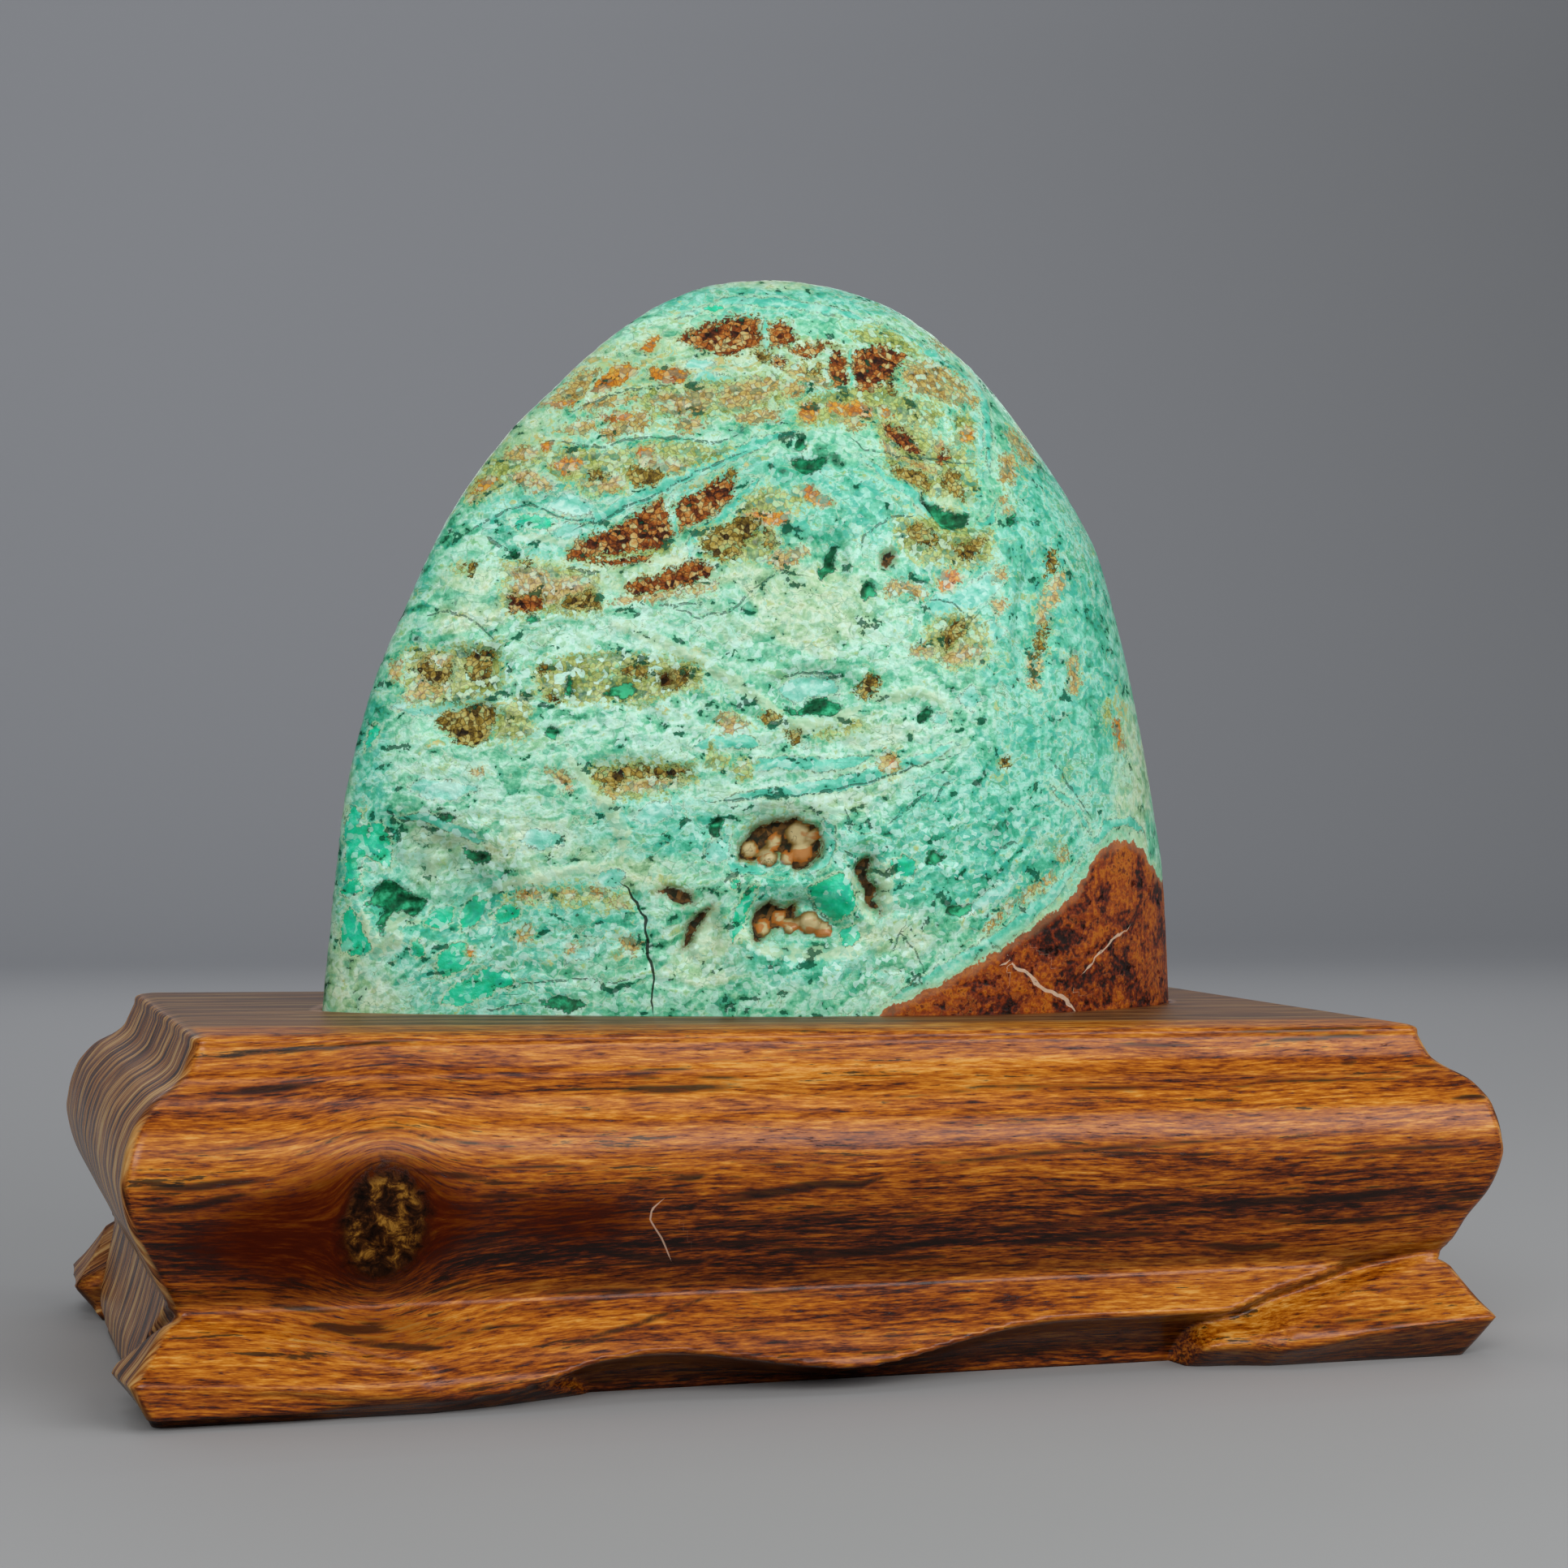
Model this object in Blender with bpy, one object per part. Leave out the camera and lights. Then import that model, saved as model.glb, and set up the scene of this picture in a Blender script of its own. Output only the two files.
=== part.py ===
"""A polished smithsonite dome that rests in the seat of its carved wooden stand.

The origin is on the floor under the middle of the stand. The stand's long side lies along X,
its front faces -Y, and the stone's flat face is turned a little to the left of that.
"""

import math

import bmesh
import bpy
import numpy as np
from mathutils import Vector, noise

# Stand: driving sizes
TOP_HALF_LENGTH = 0.1330
TOP_HALF_DEPTH = 0.0690
TOP_HEIGHT = 0.0727
TOP_FALL = 0.0125  # drop of the top for each metre to the right
CORNER_RADIUS = 0.0025
FOOT_ON_FLOOR = 0.0076  # how far a foot stands out from the rim where it meets the floor
CAVE_ON_FLOOR = -0.0040  # the same between the feet, under the skirt's lip
CAVE_CURVE = 2.5
CAVE_LIPS = (0.004, 0.016)  # an end's skirt reaches the floor below the first, caves in above
FOOT_BITE = 1.5  # how fast a foot draws back above its own top line
FOOT_FADE = 1.2  # how fast it draws back where that line runs down to the floor
FOOT_FADE_FROM = 0.009
FOOT_FADE_OVER = 0.015
FACE_REACH = 0.008  # how far past the rim a face's lines are read at its corners

# How far the moulding stands out from the rim, by share of the stand's height
MOULDING = (
    (0.000, 0.0140),
    (0.080, 0.0138),
    (0.115, 0.0128),
    (0.165, 0.0095),
    (0.230, 0.0058),
    (0.300, 0.0044),
    (0.400, 0.0078),
    (0.510, 0.0120),
    (0.620, 0.0137),
    (0.710, 0.0134),
    (0.785, 0.0117),
    (0.836, 0.0074),
    (0.870, 0.0030),
    (0.897, 0.0006),
    (0.945, 0.0000),
    (0.978, -0.0005),
    (0.994, -0.0019),
    (1.000, -0.0040),
)
WAIST_SHARES = 7  # the waist is the least of the profile's first points
# How much less far the right end's moulding stands out, by share of the stand's height
RIGHT_END_DRAW = (
    (0.000, 0.0014),
    (0.150, 0.0008),
    (0.270, 0.0003),
    (0.360, 0.0012),
    (0.450, 0.0020),
    (0.600, 0.0016),
    (0.720, 0.0010),
    (0.800, 0.0000),
    (0.860, -0.0010),
    (0.920, -0.0006),
    (1.000, -0.0006),
)
# Each face's skirt lip, as (distance right of the face's middle, height)
FRONT_LIP = (
    (-0.150, 0.0020),
    (-0.090, 0.0040),
    (-0.066, 0.0100),
    (-0.034, 0.0097),
    (-0.008, 0.0058),
    (0.004, 0.0057),
    (0.027, 0.0103),
    (0.044, 0.0122),
    (0.071, 0.0122),
    (0.084, 0.0125),
    (0.097, 0.0159),
    (0.111, 0.0188),
    (0.130, 0.0234),
    (0.150, 0.0250),
)
BACK_LIP = (
    (-0.150, 0.0245),
    (-0.128, 0.0228),
    (-0.104, 0.0160),
    (-0.082, 0.0118),
    (-0.050, 0.0105),
    (-0.022, 0.0068),
    (0.004, 0.0086),
    (0.032, 0.0124),
    (0.066, 0.0098),
    (0.092, 0.0040),
    (0.150, 0.0020),
)
END_LIP = (
    (-0.085, 0.0240),
    (-0.069, 0.0212),
    (-0.060, 0.0165),
    (-0.048, 0.0100),
    (-0.036, 0.0040),
    (0.000, 0.0025),
    (0.034, 0.0040),
    (0.046, 0.0095),
    (0.059, 0.0160),
    (0.069, 0.0205),
    (0.085, 0.0235),
)
# The top line of the foot at each end of a face, and the line of its outermost edge
FRONT_FOOT_TOPS = (
    (-0.150, 0.0200),
    (-0.137, 0.0185),
    (-0.114, 0.0148),
    (-0.102, 0.0120),
    (-0.090, 0.0085),
    (-0.076, 0.0040),
    (-0.064, -0.0060),
    (0.064, -0.0060),
    (0.078, 0.0052),
    (0.089, 0.0072),
    (0.108, 0.0128),
    (0.134, 0.0197),
    (0.150, 0.0225),
)
BACK_FOOT_TOPS = (
    (-0.150, 0.0220),
    (-0.132, 0.0190),
    (-0.108, 0.0118),
    (-0.090, 0.0066),
    (-0.076, 0.0030),
    (-0.064, -0.0060),
    (0.066, -0.0060),
    (0.080, 0.0045),
    (0.098, 0.0105),
    (0.120, 0.0160),
    (0.150, 0.0200),
)
END_FOOT_TOPS = (
    (-0.085, 0.0215),
    (-0.069, 0.0165),
    (-0.058, 0.0115),
    (-0.050, 0.0065),
    (-0.044, -0.0060),
    (0.043, -0.0060),
    (0.050, 0.0060),
    (0.058, 0.0110),
    (0.069, 0.0160),
    (0.085, 0.0210),
)
FOOT_TIPS = (
    (0.076, 0.0048),
    (0.097, 0.0045),
    (0.114, 0.0068),
    (0.129, 0.0080),
    (0.150, 0.0092),
)
END_SKIRT_REACH = 0.45  # the ends' skirts flare less than the front's
LEFT_FOOT_STEP = 0.0010  # the front left foot stands this much proud of the skirt

# Stone: driving sizes, in its own frame of right, back and up from the stand's top
STONE_AT = (0.0065, 0.0080)
STONE_TURN = math.radians(12.0)
STONE_HEIGHT = 0.1670
STONE_FRONT = 0.0430  # from the apex to the front at the foot
STONE_BACK = 0.0430
APEX_BACK = 0.0030
SIDE_CURVE = 2.3
FRONT_LEFT_POWER = 3.0  # the front meets the left rim in a tight round
FRONT_RIGHT_POWERS = (1.75, 2.10)  # at the foot, and from half way up
BACK_POWER = 2.3
CREST_FOOT = -0.0080  # how far right of the middle the foot's foremost point is
LEFT_RIM_BACK = 0.14  # share of the thickness from the front to the left rim
RIGHT_RIM_BACK = 0.78
SEAT_DEPTH = 0.0030
SEAT_GAP = 0.0003
FLOOR_GAP = 0.0003
CUTTER_HEIGHT = 0.0200
FIRST_RING = 0.0015  # height of the first ring over the stand's top
FOOT_CLEAR = 0.0020  # below this height the stone stays smooth, so that it fits its seat
# The outline from the foot to the apex: (height, distance right of the middle)
LEFT_EDGE = (
    (-0.0040, -0.0998),
    (0.0000, -0.0999),
    (0.0294, -0.0972),
    (0.0492, -0.0946),
    (0.0702, -0.0894),
    (0.0863, -0.0831),
    (0.1052, -0.0746),
    (0.1167, -0.0679),
    (0.1285, -0.0592),
    (0.1376, -0.0505),
    (0.1472, -0.0410),
    (0.1552, -0.0316),
    (0.1608, -0.0226),
    (0.1650, -0.0122),
    (0.1670, 0.0011),
)
RIGHT_EDGE = (
    (-0.0040, 0.0979),
    (0.0000, 0.0980),
    (0.0289, 0.0964),
    (0.0437, 0.0942),
    (0.0572, 0.0918),
    (0.0720, 0.0887),
    (0.0865, 0.0852),
    (0.0998, 0.0815),
    (0.1092, 0.0780),
    (0.1209, 0.0710),
    (0.1311, 0.0636),
    (0.1412, 0.0556),
    (0.1493, 0.0478),
    (0.1557, 0.0396),
    (0.1610, 0.0308),
    (0.1646, 0.0205),
    (0.1665, 0.0101),
    (0.1670, 0.0011),
)
# Hollows in the front: (right, up, half width, half height, tilt in degrees, depth)
FRONT_HOLLOWS = (
    (-0.0746, 0.0293, 0.0150, 0.0100, -30, 0.0055),
    (-0.0831, 0.0244, 0.0060, 0.0050, -15, 0.0050),
    (0.0001, 0.0376, 0.0100, 0.0068, 0, 0.0055),
    (0.0045, 0.0200, 0.0115, 0.0066, -10, 0.0055),
    (0.0399, 0.1129, 0.0075, 0.0044, -12, 0.0030),
    (-0.0181, 0.0179, 0.0038, 0.0078, -18, 0.0030),
    (0.0193, 0.0295, 0.0034, 0.0070, 8, 0.0030),
    (0.0115, 0.1004, 0.0034, 0.0055, 5, 0.0024),
    (0.0072, 0.0706, 0.0095, 0.0048, 4, 0.0026),
    (0.0590, 0.0891, 0.0046, 0.0150, -10, 0.0020),
    (-0.0266, 0.1087, 0.0200, 0.0060, 22, 0.0014),
    (-0.0117, 0.1490, 0.0095, 0.0046, 8, 0.0012),
    (0.0150, 0.1440, 0.0120, 0.0050, -22, 0.0014),
    (-0.0312, 0.0514, 0.0105, 0.0040, -4, 0.0016),
    (-0.0712, 0.0749, 0.0100, 0.0055, 0, 0.0014),
    (-0.0690, 0.0637, 0.0070, 0.0045, 8, 0.0016),
    (0.0352, 0.1243, 0.0105, 0.0075, -35, 0.0014),
    (0.0380, 0.0980, 0.0100, 0.0070, -20, 0.0014),
)
# Hollows in the back, scattered by chance between these limits
BACK_HOLLOWS = 26
BACK_SEED = 11
BACK_HEIGHTS = (0.014, 0.130)
BACK_SPREAD = 0.75  # share of the width that they keep to
BACK_WIDTHS = (0.005, 0.012)  # half width
BACK_FLATNESS = (0.4, 0.8)  # half height as a share of half width
BACK_TILTS = (-35, 25)
BACK_DEPTHS = (0.2, 0.4)  # depth as a share of half width
HOLLOW_REACH = 0.016  # how far in front or behind its middle a hollow still bites
HOLLOW_EDGE = 1.45  # a hollow's wall ends at this multiple of its size
HOLLOW_SLOPE = 0.90  # and takes this share of its size to reach the floor
HOLLOW_FADE = 0.0040  # height over which hollows fade out at the foot
SWELL = 0.0004  # the polish leaves the dome very slightly uneven
SWELL_SIZE = 0.0450
SWELL_FADE = 0.0100

# Mesh densities
FRONT_COLUMNS = 36
END_COLUMNS = 14
BACK_COLUMNS = 24
CORNER_COLUMNS = 3
STAND_SHARES = (
    0.000, 0.030, 0.060, 0.085, 0.110, 0.135, 0.160, 0.190, 0.230, 0.275, 0.320, 0.400,
    0.500, 0.610, 0.700, 0.770, 0.820, 0.860, 0.900, 0.960, 0.990, 1.000,
)
STONE_RINGS = 38
QUARTER_COLUMNS = (28, 26, 8, 14)  # front left, front right, back right, back left
TOP_CLOSE = 0.04  # share of the arc left for the cap at the apex


def smooth_line(points, steps=12):
    """A smooth curve through the points, as two arrays for np.interp."""
    given = np.array(points, float)
    ends = np.vstack([2 * given[0] - given[1], given, 2 * given[-1] - given[-2]])
    t = np.linspace(0.0, 1.0, steps, endpoint=False)[:, None]
    runs = []
    for a, b, c, d in zip(ends, ends[1:], ends[2:], ends[3:]):
        curve = (2 * b + (c - a) * t + (2 * a - 5 * b + 4 * c - d) * t**2
                 + (3 * b - a - 3 * c + d) * t**3)
        runs.append(curve / 2)
    dense = np.vstack(runs + [given[-1:]])
    dense[:, 0] = np.maximum.accumulate(dense[:, 0])
    return dense[:, 0], dense[:, 1]


def top_height(x):
    """Height of the stand's top over the floor."""
    return TOP_HEIGHT - TOP_FALL * x


def face_offset(face, along, up, share):
    """How far a face stands out from the rim: its skirt, or the foot in front of it."""
    moulding = np.interp(share, *smooth_line(MOULDING))
    low = MOULDING[:WAIST_SHARES]
    waist, waist_height = min((offset, height * TOP_HEIGHT) for height, offset in low)
    lip_line, foot_line = {
        "front": (FRONT_LIP, FRONT_FOOT_TOPS),
        "back": (BACK_LIP, BACK_FOOT_TOPS),
        "left": (END_LIP, END_FOOT_TOPS),
        "right": (END_LIP, END_FOOT_TOPS),
    }[face]
    ends = face in ("left", "right")
    lip = np.interp(along, *smooth_line(lip_line))
    reach = END_SKIRT_REACH if ends else 1.0
    flare = np.where(up < waist_height, waist + (moulding - waist) * reach, moulding)
    at_lip = np.interp(lip / TOP_HEIGHT, *smooth_line(MOULDING))
    at_lip = waist + (at_lip - waist) * reach
    cave_floor = np.interp(lip, CAVE_LIPS, (FOOT_ON_FLOOR, CAVE_ON_FLOOR))
    cave_floor = cave_floor if ends else CAVE_ON_FLOOR
    sink = np.clip(up / np.maximum(lip, 1e-5), 0.0, 1.0) ** CAVE_CURVE
    body = np.where(up < lip, cave_floor + (at_lip - cave_floor) * sink, flare)

    foot_top = np.interp(along, *smooth_line(foot_line))
    from_corner = np.abs(along) + (TOP_HALF_LENGTH - TOP_HALF_DEPTH if ends else 0.0)
    tip = np.interp(from_corner, *smooth_line(FOOT_TIPS))
    at_tip = np.interp(tip / TOP_HEIGHT, *smooth_line(MOULDING))
    under = FOOT_ON_FLOOR + (at_tip - FOOT_ON_FLOOR) * np.clip(up / tip, 0.0, 1.0)
    foot = np.where(up < tip, under, moulding)
    if face == "front":
        foot = foot + np.where(along < 0, LEFT_FOOT_STEP, 0.0)
    foot = foot - FOOT_BITE * np.maximum(up - foot_top, 0.0)
    foot = foot - FOOT_FADE * np.clip(FOOT_FADE_FROM - foot_top, 0.0, FOOT_FADE_OVER)
    out = np.maximum(body, foot)
    if face == "right":
        out = out - np.interp(share, *smooth_line(RIGHT_END_DRAW))
    return out


def stand_columns():
    """For each column round the stand: its place on the unit square, and its normal."""
    corners = ((1, -1), (1, 1), (-1, 1), (-1, -1))
    counts = (FRONT_COLUMNS, END_COLUMNS, BACK_COLUMNS, END_COLUMNS)
    columns = []
    for side, count in enumerate(counts):
        start = corners[side - 1]
        end = corners[side]
        heading = side * math.pi / 2 - math.pi / 2
        for step in range(1, count):
            t = step / count
            place = [a + (b - a) * t for a, b in zip(start, end)]
            columns.append((*place, math.cos(heading), math.sin(heading)))
        for step in range(CORNER_COLUMNS):
            turn = heading + step / (CORNER_COLUMNS - 1) * math.pi / 2
            columns.append((*end, math.cos(turn), math.sin(turn)))
    return np.array(columns)


def stand_rings():
    """The rings of the stand from the floor up over the rim to the flat of the top."""
    tx, ty, nx, ny = stand_columns().T
    along_x = tx * (TOP_HALF_LENGTH + FACE_REACH)
    along_y = ty * (TOP_HALF_DEPTH + FACE_REACH)
    rings = []
    for share in STAND_SHARES:
        up = share * top_height(along_x)
        shares = np.full(len(tx), share)
        front = face_offset("front", along_x, up, shares)
        back = face_offset("back", -along_x, up, shares)
        right = face_offset("right", along_y, up, shares)
        left = face_offset("left", -along_y, up, shares)
        out_x = np.where(tx > 0, right, left)
        out_y = np.where(ty > 0, back, front)
        x = tx * (TOP_HALF_LENGTH + out_x - CORNER_RADIUS) + CORNER_RADIUS * nx
        y = ty * (TOP_HALF_DEPTH + out_y - CORNER_RADIUS) + CORNER_RADIUS * ny
        rings.append(np.column_stack([x, y, share * top_height(x)]))
    return rings


def seat_rings():
    """The seat's cutter: the stone's foot with the gap round it, from the seat's floor up."""
    foot = to_world(section(0.0))
    ahead = np.roll(foot, -1, axis=0) - np.roll(foot, 1, axis=0)
    outward = np.column_stack([ahead[:, 1], -ahead[:, 0]]) / np.hypot(*ahead[:, :2].T)[:, None]
    wall = foot[:, :2] + SEAT_GAP * outward
    floor = top_height(wall[:, 0]) - SEAT_DEPTH - FLOOR_GAP
    return [np.column_stack([wall, floor]), np.column_stack([wall, floor + CUTTER_HEIGHT])]


def extremes(height):
    """The section's left, right, front and back limits, and where each is reached."""
    left = np.interp(height, *smooth_line(LEFT_EDGE))
    right = np.interp(height, *smooth_line(RIGHT_EDGE))
    share = np.clip(height / STONE_HEIGHT, 0.0, 1.0)
    belly = math.sqrt(1.0 - share**SIDE_CURVE)
    front = APEX_BACK - STONE_FRONT * belly
    back = APEX_BACK + STONE_BACK * belly
    middle = CREST_FOOT + (LEFT_EDGE[-1][1] - CREST_FOOT) * share
    left_back = front + LEFT_RIM_BACK * (back - front)
    right_back = front + RIGHT_RIM_BACK * (back - front)
    return left, right, front, back, middle, left_back, right_back


def front_right_power(height):
    """How square the front's right quarter is at this height."""
    return np.interp(height, (0.0, STONE_HEIGHT / 2), FRONT_RIGHT_POWERS)


def quarter(start, end, centre, power, count):
    """A quarter of a superellipse from start to end, evenly spaced, without its last point."""
    angle = np.linspace(0.0, math.pi / 2, 90)
    a = np.cos(angle) ** (2 / power)
    b = np.sin(angle) ** (2 / power)
    start, end, centre = map(np.array, (start, end, centre))
    curve = centre + a[:, None] * (start - centre) + b[:, None] * (end - centre)
    run = np.concatenate([[0.0], np.cumsum(np.hypot(*np.diff(curve, axis=0).T))])
    places = np.linspace(0.0, run[-1], count, endpoint=False)
    return np.column_stack([np.interp(places, run, curve[:, k]) for k in (0, 1)])


def section(height):
    """One level section of the stone as (right, back, up) points, running left to front."""
    left, right, front, back, middle, left_back, right_back = extremes(height)
    tips = ((left, left_back), (middle, front), (right, right_back), (middle, back))
    centres = (
        (middle, left_back), (middle, right_back), (middle, right_back), (middle, left_back),
    )
    powers = (FRONT_LEFT_POWER, front_right_power(height), BACK_POWER, BACK_POWER)
    runs = []
    for k in range(4):
        end = tips[(k + 1) % 4]
        runs.append(quarter(tips[k], end, centres[k], powers[k], QUARTER_COLUMNS[k]))
    flat = np.vstack(runs)
    return np.column_stack([flat, np.full(len(flat), height)])


def to_world(points):
    """Points in the stone's frame as points in the stand's."""
    c, s = math.cos(STONE_TURN), math.sin(STONE_TURN)
    x = STONE_AT[0] + points[:, 0] * c + points[:, 1] * s
    y = STONE_AT[1] - points[:, 0] * s + points[:, 1] * c
    return np.column_stack([x, y, top_height(x) + points[:, 2]])


def surface_depth(right_of, height, behind=False):
    """How far back the stone's front surface, or the one behind, lies at this place."""
    left, right, front, back, middle, left_back, right_back = extremes(height)
    on_left = right_of < middle
    side, deep = (left, left_back) if on_left else (right, right_back)
    share = min((right_of - middle) / (side - middle), 1.0)
    face, power = back, BACK_POWER
    if not behind:
        face = front
        power = FRONT_LEFT_POWER if on_left else front_right_power(height)
    return deep + (face - deep) * (1.0 - share**power) ** (1 / power)


def hollows(points):
    """The depth of the hollows at each point of the stone's frame."""
    depth = np.zeros(len(points))
    for right_of, up, wide, high, tilt, deep in FRONT_HOLLOWS:
        centre = (right_of, surface_depth(right_of, up), up)
        depth = np.maximum(depth, hollow(points, centre, wide, high, tilt, deep))
    rng = np.random.default_rng(BACK_SEED)
    for _ in range(BACK_HOLLOWS):
        up = rng.uniform(*BACK_HEIGHTS)
        left, right = extremes(up)[:2]
        right_of = rng.uniform(BACK_SPREAD * left, BACK_SPREAD * right)
        wide = rng.uniform(*BACK_WIDTHS)
        high = wide * rng.uniform(*BACK_FLATNESS)
        tilt = rng.uniform(*BACK_TILTS)
        deep = wide * rng.uniform(*BACK_DEPTHS)
        centre = (right_of, surface_depth(right_of, up, behind=True), up)
        depth = np.maximum(depth, hollow(points, centre, wide, high, tilt, deep))
    return depth * np.clip((points[:, 2] - FOOT_CLEAR) / HOLLOW_FADE, 0.0, 1.0)


def hollow(points, centre, wide, high, tilt, deep):
    """One hollow: an oval of this size round its centre, with a flat floor."""
    offset = points - np.array(centre)
    turn = math.radians(tilt)
    across = offset[:, 0] * math.cos(turn) + offset[:, 2] * math.sin(turn)
    upward = offset[:, 2] * math.cos(turn) - offset[:, 0] * math.sin(turn)
    away = offset[:, 1] / max(HOLLOW_REACH, wide)
    radius = np.sqrt((across / wide) ** 2 + (upward / high) ** 2 + away**2)
    share = np.clip((HOLLOW_EDGE - radius) / HOLLOW_SLOPE, 0.0, 1.0)
    return deep * share * share * (3 - 2 * share)


def swell(points):
    """The dome's slight unevenness, fading out at its foot."""
    wave = np.array([noise.noise(Vector(point / SWELL_SIZE)) for point in points])
    return SWELL * wave * np.clip((points[:, 2] - FOOT_CLEAR) / SWELL_FADE, 0.0, 1.0)


def stone_rings():
    """The stone's rings in its own frame, from under the seat's edge to near the apex."""
    height, reach = smooth_line(LEFT_EDGE)
    run = np.concatenate([[0.0], np.cumsum(np.hypot(np.diff(height), np.diff(reach)))])
    places = np.linspace(0.0, run[-1] * (1 - TOP_CLOSE), STONE_RINGS)
    levels = np.interp(places, run, height)
    levels[0] = -SEAT_DEPTH
    levels[1] = max(levels[1], FIRST_RING)
    return [section(level) for level in levels]


def loft(name, rings, pole=None):
    """A closed mesh through rings of equal count, capped at both ends."""
    mesh = bmesh.new()
    rows = [[mesh.verts.new(point) for point in ring] for ring in rings]
    count = len(rows[0])
    for low, high in zip(rows, rows[1:]):
        for k in range(count):
            after = (k + 1) % count
            mesh.faces.new((low[k], low[after], high[after], high[k]))
    mesh.faces.new(rows[0][::-1])
    if pole is None:
        mesh.faces.new(rows[-1])
    else:
        tip = mesh.verts.new(pole)
        for k in range(count):
            mesh.faces.new((rows[-1][k], rows[-1][(k + 1) % count], tip))
    bmesh.ops.triangulate(mesh, faces=[face for face in mesh.faces if len(face.verts) > 3])
    bmesh.ops.recalc_face_normals(mesh, faces=mesh.faces)
    data = bpy.data.meshes.new(name)
    mesh.to_mesh(data)
    mesh.free()
    return data


def finish(name, colour, roughness):
    """A plain finish of this colour."""
    material = bpy.data.materials.new(name)
    material.use_nodes = True
    shader = material.node_tree.nodes["Principled BSDF"]
    shader.inputs["Base Color"].default_value = (*colour, 1.0)
    shader.inputs["Roughness"].default_value = roughness
    shader.inputs["Metallic"].default_value = 0.0
    return material


def add_piece(name, data, material, collection):
    """Puts a mesh in the collection as one named, smooth-shaded piece."""
    piece = bpy.data.objects.new(name, data)
    data.materials.append(material)
    data.shade_smooth()
    data.set_sharp_from_angle(angle=math.radians(38))
    collection.objects.link(piece)
    return piece


def build_stand(collection, cutters):
    """The carved stand, with the seat cut into its top."""
    data = loft("wooden_stand", stand_rings())
    wood = finish("lacquered_wood", (0.36, 0.13, 0.035), 0.28)
    stand = add_piece("wooden_stand", data, wood, collection)
    seat = bpy.data.objects.new("seat_cutter", loft("seat_cutter", seat_rings()))
    seat.hide_render = True
    seat.display_type = "WIRE"
    cutters.objects.link(seat)
    cut = stand.modifiers.new("seat", "BOOLEAN")
    cut.operation = "DIFFERENCE"
    cut.solver = "EXACT"
    cut.object = seat
    return stand


def build_stone(collection):
    """The dome: smooth sections first, then the hollows pressed in along the normals."""
    rings = stone_rings()
    data = loft("smithsonite_stone", rings, (LEFT_EDGE[-1][1], APEX_BACK, STONE_HEIGHT))
    normals = np.array([vertex.normal for vertex in data.vertices])
    points = np.array([vertex.co for vertex in data.vertices])
    moved = points + normals * (swell(points) - hollows(points))[:, None]
    for vertex, place in zip(data.vertices, to_world(moved)):
        vertex.co = place
    stone = finish("polished_smithsonite", (0.17, 0.62, 0.42), 0.22)
    return add_piece("smithsonite_stone", data, stone, collection)


def main():
    """Clears the scene and builds the stone on its stand."""
    for left_over in list(bpy.data.objects):
        bpy.data.objects.remove(left_over, do_unlink=True)
    collection = bpy.data.collections.new("smithsonite_on_stand")
    cutters = bpy.data.collections.new("cutters")
    bpy.context.scene.collection.children.link(collection)
    bpy.context.scene.collection.children.link(cutters)
    build_stand(collection, cutters)
    build_stone(collection)


main()
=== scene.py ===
"""A polished smithsonite dome in the seat of its lacquered, hand-carved wooden stand.

Everything is in metres, in the stand's frame: +X to the right along the front, +Y to the back,
+Z up, with the origin on the floor under the middle of the stand.
"""

from __future__ import annotations

import logging
import math
from dataclasses import dataclass
from enum import Enum
from functools import cached_property
from typing import Any, Sequence

import bpy
import numpy as np
from mathutils import Euler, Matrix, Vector, noise

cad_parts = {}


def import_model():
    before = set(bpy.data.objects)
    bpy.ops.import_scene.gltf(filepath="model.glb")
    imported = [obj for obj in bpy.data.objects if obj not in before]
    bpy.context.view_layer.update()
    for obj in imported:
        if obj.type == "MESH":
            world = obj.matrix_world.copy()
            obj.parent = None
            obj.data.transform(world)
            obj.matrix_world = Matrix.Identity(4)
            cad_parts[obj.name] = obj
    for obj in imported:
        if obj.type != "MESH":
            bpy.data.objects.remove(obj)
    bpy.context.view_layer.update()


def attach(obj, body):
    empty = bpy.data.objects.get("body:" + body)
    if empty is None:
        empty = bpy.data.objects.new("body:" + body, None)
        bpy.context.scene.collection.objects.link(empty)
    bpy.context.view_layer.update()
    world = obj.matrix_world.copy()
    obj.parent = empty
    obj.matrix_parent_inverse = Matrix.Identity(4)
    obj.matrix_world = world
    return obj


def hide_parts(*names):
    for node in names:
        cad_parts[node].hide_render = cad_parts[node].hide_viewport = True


LOG = logging.getLogger("smithsonite")
MM = 0.001
FAR_OFF = 1e9
TINY = 1e-9
# A mark this many millimetres away does nothing.
FAR_MM = 6.0
Points = np.ndarray
Socket = bpy.types.NodeSocket
Stops = Sequence[tuple[float, str]]


def linear(hex_colour: str) -> tuple[float, float, float, float]:
    """Turns an sRGB hex colour into a linear one.

    Args:
        hex_colour: six hex digits after a hash sign.

    Returns:
        Red, green, blue and an alpha of one, as the shaders take them.
    """
    parts = [int(hex_colour[k:k + 2], 16) / 255 for k in (1, 3, 5)]
    straight = [c / 12.92 if c <= 0.04045 else ((c + 0.055) / 1.055) ** 2.4 for c in parts]
    return (straight[0], straight[1], straight[2], 1.0)


def smooth_step(low: float, high: float, value: Points) -> Points:
    """Rises smoothly from 0 at low to 1 at high."""
    share = np.clip((value - low) / (high - low), 0.0, 1.0)
    return share * share * (3 - 2 * share)


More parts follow.
